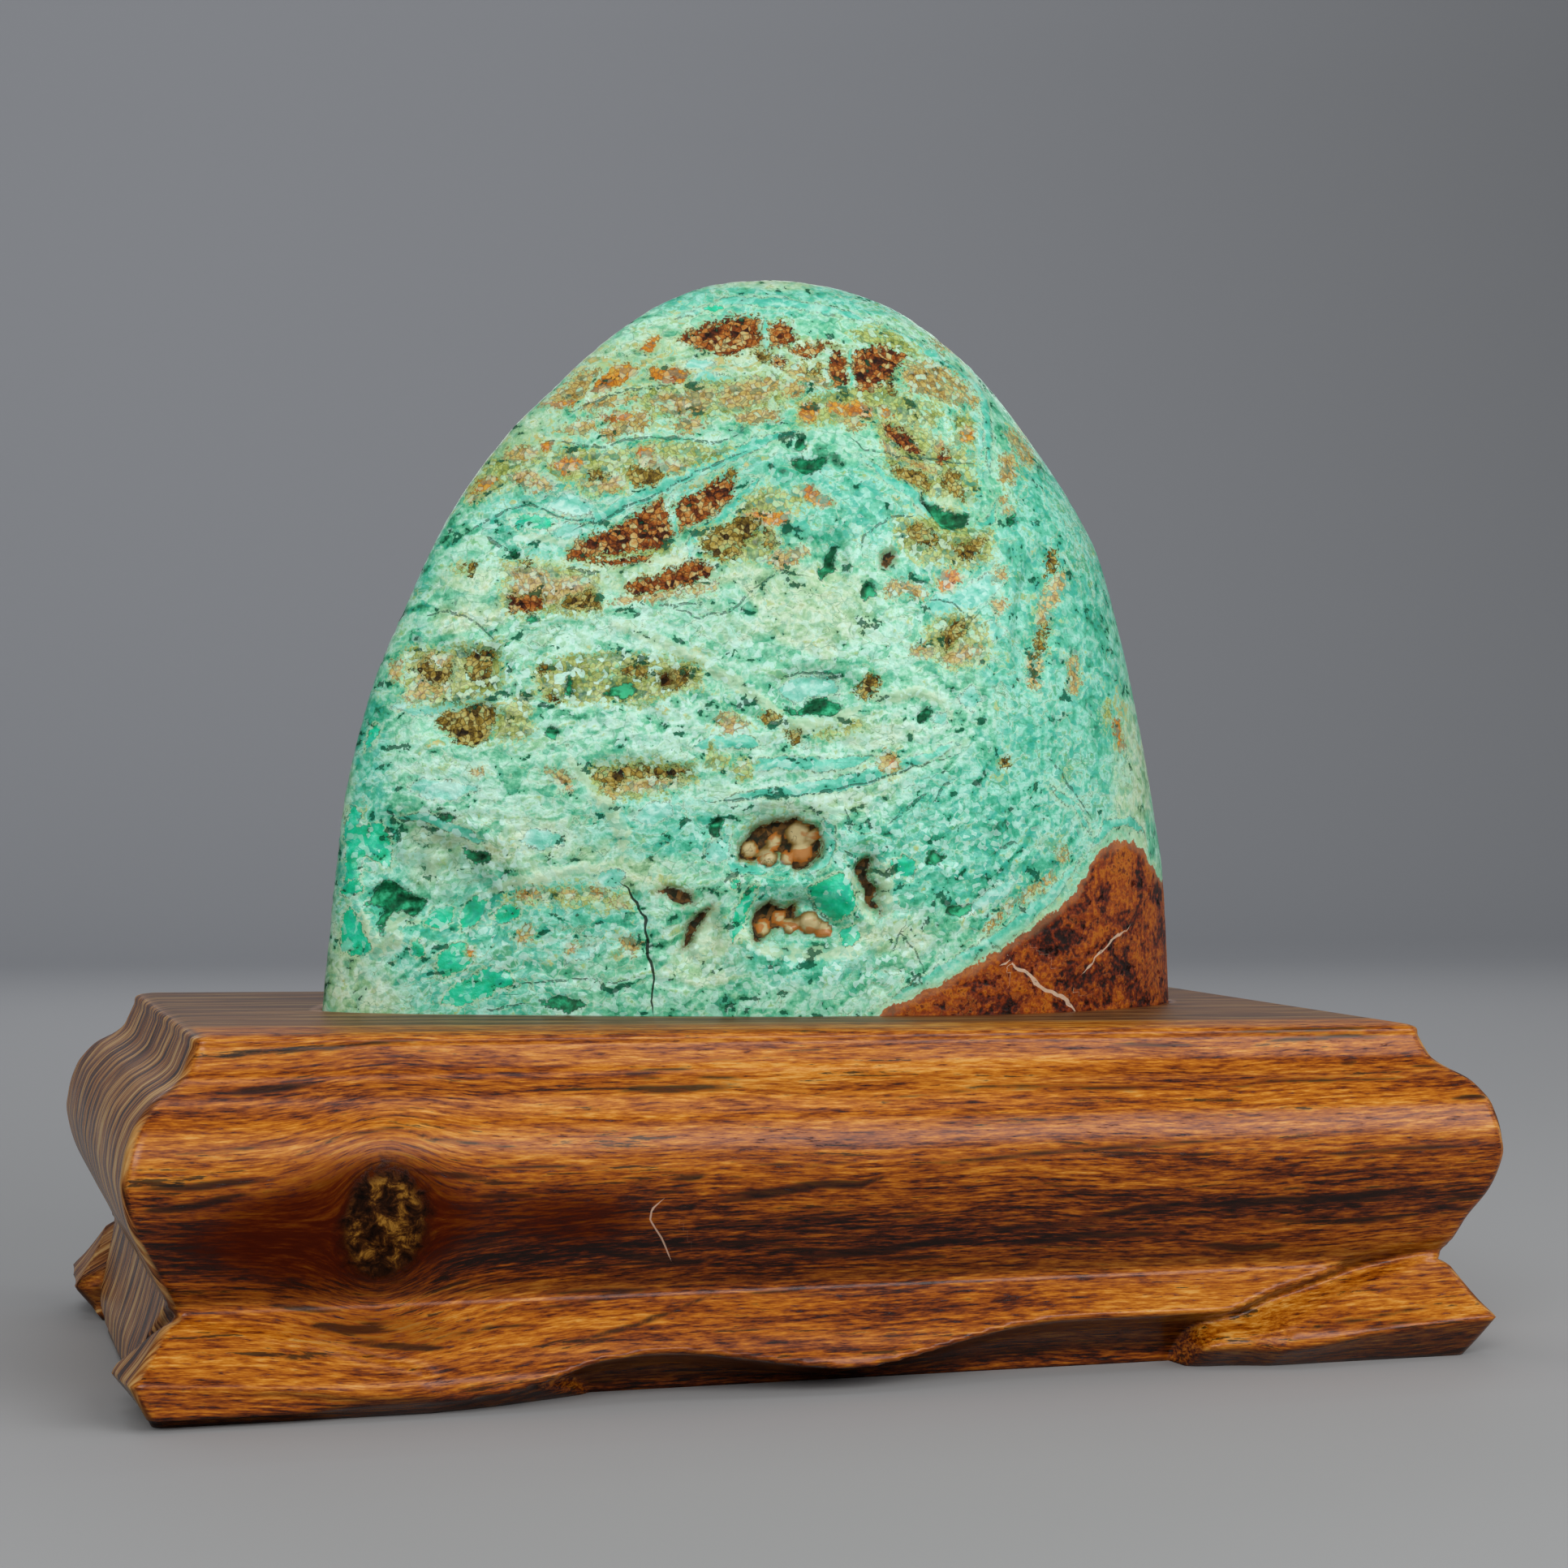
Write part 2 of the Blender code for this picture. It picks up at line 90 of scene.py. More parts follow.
def waves(points: Points, size: float, octaves: int = 1, shift: float = 0.0) -> Points:
    """Smooth noise at each point.

    Args:
        points: places, one row each.
        size: the size of one wave, in the points' own unit.
        octaves: how many finer layers are added.
        shift: moves the pattern, so that two calls differ.

    Returns:
        One value for each point, mostly between -1 and 1.
    """
    scaled = points / size + shift
    if octaves == 1:
        return np.array([noise.noise(Vector(p)) for p in scaled])
    return np.array([noise.fractal(Vector(p), 1.0, 2.0, octaves) for p in scaled])


@dataclass(frozen=True)
class SmoothLine:
    """A smooth curve through given points, read by the place along it."""

    points: tuple[tuple[float, float], ...]
    steps: int = 12

    @cached_property
    def dense(self) -> tuple[Points, Points]:
        """The curve through the points, drawn finely.

        Returns:
            Its places and its values.
        """
        given = np.array(self.points, float)
        ends = np.vstack([2 * given[0] - given[1], given, 2 * given[-1] - given[-2]])
        t = np.linspace(0.0, 1.0, self.steps, endpoint=False)[:, None]
        runs = []
        for a, b, c, d in zip(ends, ends[1:], ends[2:], ends[3:]):
            bend = (2 * a - 5 * b + 4 * c - d) * t**2 + (3 * b - a - 3 * c + d) * t**3
            runs.append((2 * b + (c - a) * t + bend) / 2)
        curve = np.vstack(runs + [given[-1:]])
        return np.maximum.accumulate(curve[:, 0]), curve[:, 1]

    def __call__(self, place: Points | float) -> Points:
        """The curve's value at each place."""
        return np.interp(place, *self.dense)


@dataclass(frozen=True)
class PhotoView:
    """The photograph's camera: a 73 mm lens on a full frame, a little above the stand's top."""

    place: tuple[float, float, float] = (-0.1945, -0.6940, 0.1230)
    turn: tuple[float, float, float] = (90.03, 0.0, -16.25)
    focal: float = 3911.0
    image: float = 1932.0

    def pixels(self, points: Points) -> Points:
        """Where each point is seen in the 1932 by 1932 image.

        Args:
            points: places in the stand's frame, one row each.

        Returns:
            Right and down in pixels, one row for each point.
        """
        turn = np.array(Euler([math.radians(a) for a in self.turn]).to_matrix())
        seen = (points - np.array(self.place)) @ turn
        right = self.image / 2 + self.focal * seen[:, 0] / -seen[:, 2]
        down = self.image / 2 - self.focal * seen[:, 1] / -seen[:, 2]
        return np.column_stack([right, down])

    def facing(self, points: Points, normals: Points) -> Points:
        """How squarely the surface faces the camera.

        Args:
            points: places in the stand's frame, one row each.
            normals: the surface's directions there.

        Returns:
            One value for each point, from -1 to 1.
        """
        ray = np.array(self.place) - points
        ray /= np.linalg.norm(ray, axis=1)[:, None]
        return (ray * normals).sum(axis=1)

    def build(self) -> bpy.types.Object:
        """Adds the camera and makes it the scene's own.

        Returns:
            The camera.
        """
        data = bpy.data.cameras.new("photo_camera")
        data.sensor_width = 36.0
        data.lens = self.focal / self.image * data.sensor_width
        data.clip_start = 0.01
        camera = bpy.data.objects.new("photo_camera", data)
        camera.location = self.place
        camera.rotation_euler = [math.radians(angle) for angle in self.turn]
        bpy.context.scene.collection.objects.link(camera)
        bpy.context.scene.camera = camera
        return camera


@dataclass
class Recipe:
    """One material's nodes, added and linked as they come."""

    tree: bpy.types.NodeTree

    def add(self, kind: str, *values: Any, out: int | str = 0, stops: Stops = (),
            named: dict[str, Any] | None = None, **settings: Any) -> Socket:
        """Adds a node with its settings and links.

        Args:
            kind: the node's type, without the ShaderNode prefix.
            values: what goes into its open sockets, in order: a socket, a number, a vector or a
                hex colour.
            out: the output that is given back.
            stops: places and hex colours, where the node is a colour ramp.
            named: what goes into sockets that are named.
            settings: the node's own options.

        Returns:
            The chosen output.
        """
        node = self.tree.nodes.new("ShaderNode" + kind)
        for option, value in settings.items():
            setattr(node, option, value)
        for number, (place, colour) in enumerate(stops):
            elements = node.color_ramp.elements
            stop = elements[number] if number < 2 else elements.new(place)
            stop.position, stop.color = place, linear(colour)
        sockets = [socket for socket in node.inputs if socket.enabled]
        given = list(zip(sockets, values))
        given += [(node.inputs[name], value) for name, value in (named or {}).items()]
        for socket, value in given:
            if isinstance(value, bpy.types.NodeSocket):
                self.tree.links.new(value, socket)
            else:
                socket.default_value = linear(value) if isinstance(value, str) else value
        outputs = [socket for socket in node.outputs if socket.enabled]
        return outputs[out] if isinstance(out, int) else node.outputs[out]

    def about_half(self, *parts: tuple[Socket, float]) -> Socket:
        """Adds several values near one half to a new one near one half.

        Args:
            parts: each value with its weight.

        Returns:
            The new value.
        """
        total: Any = 0.5 - 0.5 * sum(weight for _, weight in parts)
        for value, weight in parts:
            total = self.add("Math", value, weight, total, operation="MULTIPLY_ADD")
        return total

    def step(self, value: Socket, low: float, high: float) -> Socket:
        """Rises smoothly from 0 where a value is at low to 1 where it is at high."""
        return self.add("MapRange", value, low, high, interpolation_type="SMOOTHSTEP")

    def lay(self, under: Any, over: Any, share: Any, weight: float = 1.0) -> Socket:
        """Lays one colour over another.

        Args:
            under: the colour below.
            over: the colour above.
            share: how far it covers the other at each place.
            weight: how strong it is where it covers all.

        Returns:
            The new colour.
        """
        if weight != 1.0:
            share = self.add("Math", share, weight, operation="MULTIPLY")
        return self.add("Mix", share, under, over, data_type="RGBA")

    def mottle(self, place: Any, size: float, detail: float = 3.0, rough: float = 0.55,
               drawn: tuple[float, float, float] = (1.0, 1.0, 1.0), twist: float = 0.0) -> Socket:
        """A cloudy pattern between 0 and 1.

        Args:
            place: where the pattern is read.
            size: the size of its spots, in metres.
            detail: how many finer layers lie in it.
            rough: how strong those are.
            drawn: how many times longer the spots are along each axis.
            twist: how far the pattern pulls itself about.

        Returns:
            The pattern's value.
        """
        scale = tuple(1 / size / length for length in drawn)
        spot = self.add("Mapping", named={"Vector": place, "Scale": scale})
        return self.add("TexNoise", named={"Vector": spot, "Scale": 1.0, "Detail": detail,
                                           "Roughness": rough, "Distortion": twist})

    def line(self, gap: Socket, half: Any, grain: Socket) -> Socket:
        """The share of a thin line with a rough edge.

        Args:
            gap: the distance from the line's middle, in millimetres.
            half: the line's half width, in millimetres.
            grain: the pattern that makes its edge uneven.

        Returns:
            One on the line and zero beside it.
        """
        gap = self.add("Math", gap, operation="ABSOLUTE")
        gap = self.add("Math", grain, 0.16, gap, operation="MULTIPLY_ADD")
        return self.step(self.add("Math", half, gap, operation="SUBTRACT"), -0.10, 0.02)

    def finish(self, colour: Socket, rough: Socket, height: Socket, strength: float) -> None:
        """Links what the material is made of into its shader.

        Args:
            colour: its colour.
            rough: its roughness.
            height: its fine relief, in millimetres.
            strength: how strongly the relief shows, from 0 to 1.
        """
        shader = self.tree.nodes["Principled BSDF"]
        relief = self.add("Bump", named={"Strength": strength, "Distance": MM, "Height": height})
        self.tree.links.new(colour, shader.inputs["Base Color"])
        self.tree.links.new(rough, shader.inputs["Roughness"])
        self.tree.links.new(relief, shader.inputs["Normal"])


def new_finish(name: str) -> tuple[bpy.types.Material, Recipe, Any]:
    """Starts a material.

    Args:
        name: the material's name.

    Returns:
        The material, the recipe for its nodes, and its Principled shader.
    """
    material = bpy.data.materials.new(name)
    material.use_nodes = True
    return material, Recipe(material.node_tree), material.node_tree.nodes["Principled BSDF"]


class Mineral(Enum):
    """What a patch of the stone is made of."""

    RUST = "rust"
    LOAM = "loam"
    OCHRE = "ochre"
    TAN = "tan"
    OLIVE = "olive"
    EMERALD = "emerald"
    SKY = "sky"
    PIT = "pit"
    CAVE = "cave"


@dataclass(frozen=True)
class Mark:
    """A mark on the stone or the wood, by points in the photograph's pixels.

    Its outline runs right, down, right, down and so on, from one point to the next.
    """

    outline: tuple[float, ...]

    @property
    def corners(self) -> Points:
        """The mark's points, one row each."""
        return np.array(self.outline, float).reshape(-1, 2)

    def near(self, places: Points, margin: float) -> Points:
        """Which places are in the mark's box or close to it.

        Args:
            places: right and down in pixels, one row each.
            margin: how far round the box still counts, in pixels.

        Returns:
            The numbers of those places' rows.
        """
        low, high = self.corners.min(axis=0) - margin, self.corners.max(axis=0) + margin
        return np.flatnonzero(((places > low) & (places < high)).all(axis=1))

    @staticmethod
    def from_side(places: Points, start: Points, end: Points) -> tuple[Points, Points]:
        """Where places lie by one straight side.

        Args:
            places: right and down in pixels, one row each.
            start: the side's first point.
            end: its last point.

        Returns:
            The share of the side at its nearest point, and each place's offset from there.
        """
        run, offset = end - start, places - start
        share = np.clip(offset @ run / max(run @ run, TINY), 0.0, 1.0)
        return share, offset - share[:, None] * run


@dataclass(frozen=True)
class Patch(Mark):
    """A patch of one mineral with straight sides."""

    mineral: Mineral

    def inside(self, places: Points) -> Points:
        """How far inside the patch each place is.

        Args:
            places: right and down in pixels, one row each.

        Returns:
            The distance to the patch's edge in pixels, below zero outside it.
        """
        least = np.full(len(places), FAR_OFF)
        within = np.zeros(len(places), bool)
        for start, end in zip(self.corners, np.roll(self.corners, -1, axis=0)):
            away = self.from_side(places, start, end)[1]
            least = np.minimum(least, np.hypot(away[:, 0], away[:, 1]))
            run = end - start
            crosses = (start[1] > places[:, 1]) != (end[1] > places[:, 1])
            side_at = start[0] + (places[:, 1] - start[1]) * run[0] / (run[1] or TINY)
            within ^= crosses & (places[:, 0] < side_at)
        return np.where(within, least, -least)


def all_of(mineral: Mineral, outlines: Sequence[tuple[float, ...]]) -> tuple[Patch, ...]:
    """Patches of one mineral, from their outlines."""
    return tuple(Patch(outline, mineral) for outline in outlines)


@dataclass(frozen=True)
class Zone:
    """A soft-edged area of the photograph: its centre, half width, half height and strength."""

    right: float
    down: float
    wide: float
    high: float
    amount: float = 1.0

    def weight(self, places: Points) -> Points:
        """How strongly each place belongs to the zone.

        Args:
            places: right and down in pixels, one row each.

        Returns:
            The zone's strength in its middle, falling to zero outside it.
        """
        away = ((places[:, 0] - self.right) / self.wide) ** 2
        away += ((places[:, 1] - self.down) / self.high) ** 2
        return self.amount * np.exp(-0.9 * away**1.5)


@dataclass(frozen=True)
class Stroke(Mark):
    """A long thin mark that narrows to its ends, with its half width in pixels."""

    half: float

    def across(self, places: Points) -> tuple[Points, Points]:
        """Where each place lies by the mark.

        Args:
            places: right and down in pixels, one row each.

        Returns:
            The distance from the mark's middle line, below zero on its left, and the share of
            the line's length at the nearest point.
        """
        nearest = np.full(len(places), FAR_OFF)
        along = np.zeros(len(places))
        pairs = list(zip(self.corners, self.corners[1:]))
        total = sum(math.dist(a, b) for a, b in pairs)
        done = 0.0
        for start, end in pairs:
            share, away = self.from_side(places, start, end)
            run = end - start
            side = np.where(run[0] * away[:, 1] < run[1] * away[:, 0], -1.0, 1.0)
            gap = np.hypot(away[:, 0], away[:, 1])
            closer = gap < np.abs(nearest)
            nearest = np.where(closer, side * gap, nearest)
            along = np.where(closer, (done + share * math.dist(start, end)) / total, along)
            done += math.dist(start, end)
        return nearest, along

    def inside(self, places: Points) -> Points:
        """How far inside the mark each place is, in pixels: below zero it is outside."""
        gap, along = self.across(places)
        return self.half * (1 - np.abs(2 * along - 1) ** 3) - np.abs(gap)


def deepest(marks: Sequence[Patch | Stroke], places: Points, far: float = 36.0) -> Points:
    """How far each place is inside the nearest of the marks.

    Args:
        marks: patches and strokes.
        places: right and down in pixels, one row each.
        far: the distance outside that stands for any greater one.

    Returns:
        The distance to the mark's edge in pixels, below zero outside it.
    """
    depth = np.full(len(places), -far)
    for mark in marks:
        near = mark.near(places, far)
        depth[near] = np.maximum(depth[near], mark.inside(places[near]))
    return depth


def thin_lines(marks: Sequence[Stroke], places: Points, far: float = 30.0) -> Points:
    """The distance across the nearest of some thin marks, in pixels, below zero on its left.

    Args:
        marks: the strokes.
        places: right and down in pixels, one row each.
        far: the distance that stands for any greater one.

    Returns:
        The distance, and in a second column the nearest mark's half width there.
    """
    found = np.column_stack([np.full(len(places), far), np.zeros(len(places))])
    for mark in marks:
        near = mark.near(places, far)
        gap, along = mark.across(places[near])
        closer = np.abs(gap) < np.abs(found[near, 0])
        half = mark.half * (1 - np.abs(2 * along - 1) ** 5)
        found[near[closer]] = np.column_stack([gap, half])[closer]
    return found


def loft(name: str, rings: Sequence[Points], pole: Points | None = None) -> bpy.types.Mesh:
    """A closed mesh through rings with the same number of points.

    Args:
        name: the mesh's name.
        rings: the rings, from the lowest up, each running the same way round.
        pole: a single point that closes the last ring instead of a face.

    Returns:
        The mesh, smooth-shaded.
    """
    count = len(rings[0])
    points = np.vstack(list(rings) + ([pole[None, :]] if pole is not None else []))
    lower = np.arange(count)
    after = (lower + 1) % count
    faces: list[tuple[int, ...]] = []
    for level in range(len(rings) - 1):
        base = level * count
        quads = np.column_stack([base + lower, base + after, base + count + after,
                                 base + count + lower])
        faces.extend(map(tuple, quads.tolist()))
    last = (len(rings) - 1) * count
    faces.append(tuple(range(count - 1, -1, -1)))
    if pole is None:
        faces.append(tuple(range(last, last + count)))
    else:
        tip = len(points) - 1
        faces.extend((last + k, last + (k + 1) % count, tip) for k in range(count))
    mesh = bpy.data.meshes.new(name)
    mesh.from_pydata(points.tolist(), [], faces)
    mesh.update()
    mesh.shade_smooth()
    return mesh


def points_and_normals(mesh: bpy.types.Mesh) -> tuple[Points, Points]:
    """Reads a mesh.

    Args:
        mesh: the mesh.

    Returns:
        Its points and its smooth normals, one row each.
    """
    found = []
    for rows, name in ((mesh.vertices, "co"), (mesh.vertex_normals, "vector")):
        flat = np.zeros(len(mesh.vertices) * 3, np.float32)
        rows.foreach_get(name, flat)
        found.append(flat.reshape(-1, 3).astype(float))
    return found[0], found[1]


def move_points(mesh: bpy.types.Mesh, points: Points) -> None:
    """Puts the mesh's points at these places."""
    mesh.vertices.foreach_set("co", points.astype(np.float32).ravel())
    mesh.update()


def keep(mesh: bpy.types.Mesh, name: str, values: Points) -> None:
    """Stores something at each of the mesh's points, for its material to read.

    Args:
        mesh: the mesh.
        name: the name under which the material reads it.
        values: a number or a vector for each point.
    """
    kind, slot = ("FLOAT", "value") if values.ndim == 1 else ("FLOAT_VECTOR", "vector")
    layer = mesh.attributes.new(name, kind, "POINT")
    layer.data.foreach_set(slot, values.astype(np.float32).ravel())


def show(name: str, mesh: bpy.types.Mesh, node: str) -> bpy.types.Object:
    """Puts a mesh in the scene in place of the solid that it dresses.

    Args:
        name: the piece's name.
        mesh: its mesh, in the stand's frame.
        node: the solid's name.

    Returns:
        The piece.
    """
    piece = bpy.data.objects.new(name, mesh)
    bpy.context.scene.collection.objects.link(piece)
    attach(piece, "root")
    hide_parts(node)
    LOG.info("%s: %d points, %d faces", name, len(mesh.vertices), len(mesh.polygons))
    return piece


@dataclass(frozen=True)
class StandTop:
    """The stand's sloping top, and the seat cut into it."""

    height: float = 0.0727
    fall: float = 0.0125
    seat_depth: float = 0.0030
    gap: float = 0.0003

    def at(self, x: Points | float) -> Points | float:
        """Height of the top over the floor, which falls to the right."""
        return self.height - self.fall * x


@dataclass(frozen=True)
class StoneForm:
    """The dome's own form, in a frame of right, back and up from the stand's top."""

    top: StandTop = StandTop()
    at: tuple[float, float] = (0.0065, 0.0080)
    turn: float = math.radians(12.0)
    height: float = 0.1670
    front: float = 0.0430
    back: float = 0.0430
    apex_back: float = 0.0030
    side_curve: float = 2.3
    front_left_power: float = 3.0
    front_right_powers: tuple[float, float] = (1.75, 2.10)
    back_power: float = 2.3
    crest_foot: float = -0.0080
    left_rim_back: float = 0.14
    right_rim_back: float = 0.78
    crest_right: float = 0.0011
    columns: tuple[int, int, int, int] = (140, 150, 30, 44)
    rings: int = 266
    top_close: float = 0.006
    left_edge: SmoothLine = SmoothLine((
        (-0.0040, -0.0998), (0.0000, -0.0999), (0.0294, -0.0972), (0.0492, -0.0946),
        (0.0702, -0.0894), (0.0863, -0.0831), (0.1052, -0.0746), (0.1167, -0.0679),
        (0.1285, -0.0592), (0.1376, -0.0505), (0.1472, -0.0410), (0.1552, -0.0316),
        (0.1608, -0.0226), (0.1650, -0.0122), (0.1670, 0.0011),
    ))
    right_edge: SmoothLine = SmoothLine((
        (-0.0040, 0.0979), (0.0000, 0.0980), (0.0289, 0.0964), (0.0437, 0.0942),
        (0.0572, 0.0918), (0.0720, 0.0887), (0.0865, 0.0852), (0.0998, 0.0815),
        (0.1092, 0.0780), (0.1209, 0.0710), (0.1311, 0.0636), (0.1412, 0.0556),
        (0.1493, 0.0478), (0.1557, 0.0396), (0.1610, 0.0308), (0.1646, 0.0205),
        (0.1665, 0.0101), (0.1670, 0.0011),
    ))

    def extremes(self, height: float) -> tuple[float, ...]:
        """How far a level section reaches.

        Args:
            height: the section's height over the stand's top.

        Returns:
            Its left, right, front and back limits, how far right the front and back ones are
            reached, and how far back the left and the right ones are.
        """
        left, right = self.left_edge(height), self.right_edge(height)
        share = min(max(height / self.height, 0.0), 1.0)
        belly = math.sqrt(1.0 - share**self.side_curve)
        front = self.apex_back - self.front * belly
        back = self.apex_back + self.back * belly
        middle = self.crest_foot + (self.crest_right - self.crest_foot) * share
        left_back = front + self.left_rim_back * (back - front)
        right_back = front + self.right_rim_back * (back - front)
        return left, right, front, back, middle, left_back, right_back

    def right_power(self, height: float) -> float:
        """How square the front's right quarter is at this height."""
        return float(np.interp(height, (0.0, self.height / 2), self.front_right_powers))

    @staticmethod
    def quarter(start: Points, end: Points, centre: Points, power: float, count: int) -> Points:
        """A quarter of a superellipse, evenly spaced.

        Args:
            start: its first point.
            end: its last point.
            centre: the point that both radii come from.
            power: how square it is; 2 is an ellipse.
            count: how many points it has.

        Returns:
            The points, without the end, one row each.
        """
        angle = np.linspace(0.0, math.pi / 2, 160)
        from_start = (np.cos(angle) ** (2 / power))[:, None] * (start - centre)
        to_end = (np.sin(angle) ** (2 / power))[:, None] * (end - centre)
        curve = centre + from_start + to_end
        run = np.concatenate([[0.0], np.cumsum(np.hypot(*np.diff(curve, axis=0).T))])
        places = np.linspace(0.0, run[-1], count, endpoint=False)
        return np.column_stack([np.interp(places, run, curve[:, k]) for k in (0, 1)])

    def section(self, height: float) -> Points:
        """One level section of the dome.

        Args:
            height: its height over the stand's top.

        Returns:
            Right, back and up of its points, from the left round by the front.
        """
        left, right, front, back, middle, left_back, right_back = self.extremes(height)
        tips = np.array([(left, left_back), (middle, front), (right, right_back), (middle, back)])
        near = np.array([middle, left_back]), np.array([middle, right_back])
        centres = (near[0], near[1], near[1], near[0])
        powers = (self.front_left_power, self.right_power(height), self.back_power,
                  self.back_power)
        runs = [
            self.quarter(tips[k], tips[(k + 1) % 4], centres[k], powers[k], self.columns[k])
            for k in range(4)
        ]
        flat = np.vstack(runs)
        return np.column_stack([flat, np.full(len(flat), height)])

    def to_world(self, points: Points) -> Points:
        """Takes points from the stone's frame to the stand's.

        Args:
            points: right, back and up, one row each.

        Returns:
            The same points as x, y and z.
        """
        c, s = math.cos(self.turn), math.sin(self.turn)
        x = self.at[0] + points[:, 0] * c + points[:, 1] * s
        y = self.at[1] - points[:, 0] * s + points[:, 1] * c
        return np.column_stack([x, y, self.top.at(x) + points[:, 2]])

    def surface_depth(self, right_of: float, height: float, behind: bool = False) -> float:
        """Finds the dome's surface at a place.

        Args:
            right_of: the place's distance to the right.
            height: its height over the stand's top.
            behind: whether the surface behind is meant and not the front one.

        Returns:
            How far back the surface lies there.
        """
        left, right, front, back, middle, left_back, right_back = self.extremes(height)
        on_left = right_of < middle
        side, deep = (left, left_back) if on_left else (right, right_back)
        share = min((right_of - middle) / (side - middle), 1.0)
        face, power = back, self.back_power
        if not behind:
            face = front
            power = self.front_left_power if on_left else self.right_power(height)
        return deep + (face - deep) * (1.0 - share**power) ** (1 / power)

    def levels(self) -> list[float]:
        """Spaces the rings evenly along the dome's outline.

        Returns:
            Each ring's height over the stand's top.
        """
        height, reach = self.left_edge.dense
        run = np.concatenate([[0.0], np.cumsum(np.hypot(np.diff(height), np.diff(reach)))])
        places = np.linspace(0.0, run[-1] * (1 - self.top_close), self.rings)
        found = np.interp(places, run, height)
        found[0] = -self.top.seat_depth
        return list(np.maximum.accumulate(found))


@dataclass(frozen=True)
class Hollow:
    """One oval hollow with a flat floor, pressed into the dome's front or back."""

    right_of: float
    up: float
    wide: float
    high: float
    tilt: float
    deep: float
    reach: float = 0.016
    edge: float = 1.45
    slope: float = 0.90

    def depth(self, points: Points, form: StoneForm, behind: bool = False) -> Points:
        """How deep the hollow is.

        Args:
            points: right, back and up in the stone's frame, one row each.
            form: the dome that it is pressed into.
            behind: whether it lies on the far side.

        Returns:
            The depth at each point, in metres.
        """
        centre = np.array([self.right_of,
                           form.surface_depth(self.right_of, self.up, behind), self.up])
        offset = points - centre
        turn = math.radians(self.tilt)
        across = offset[:, 0] * math.cos(turn) + offset[:, 2] * math.sin(turn)
        upward = offset[:, 2] * math.cos(turn) - offset[:, 0] * math.sin(turn)
        away = offset[:, 1] / max(self.reach, self.wide)
        radius = np.sqrt((across / self.wide) ** 2 + (upward / self.high) ** 2 + away**2)
        share = np.clip((self.edge - radius) / self.slope, 0.0, 1.0)
        return self.deep * share * share * (3 - 2 * share)


RUST, LOAM, OCHRE, TAN, OLIVE, EMERALD, SKY, PIT, CAVE = Mineral


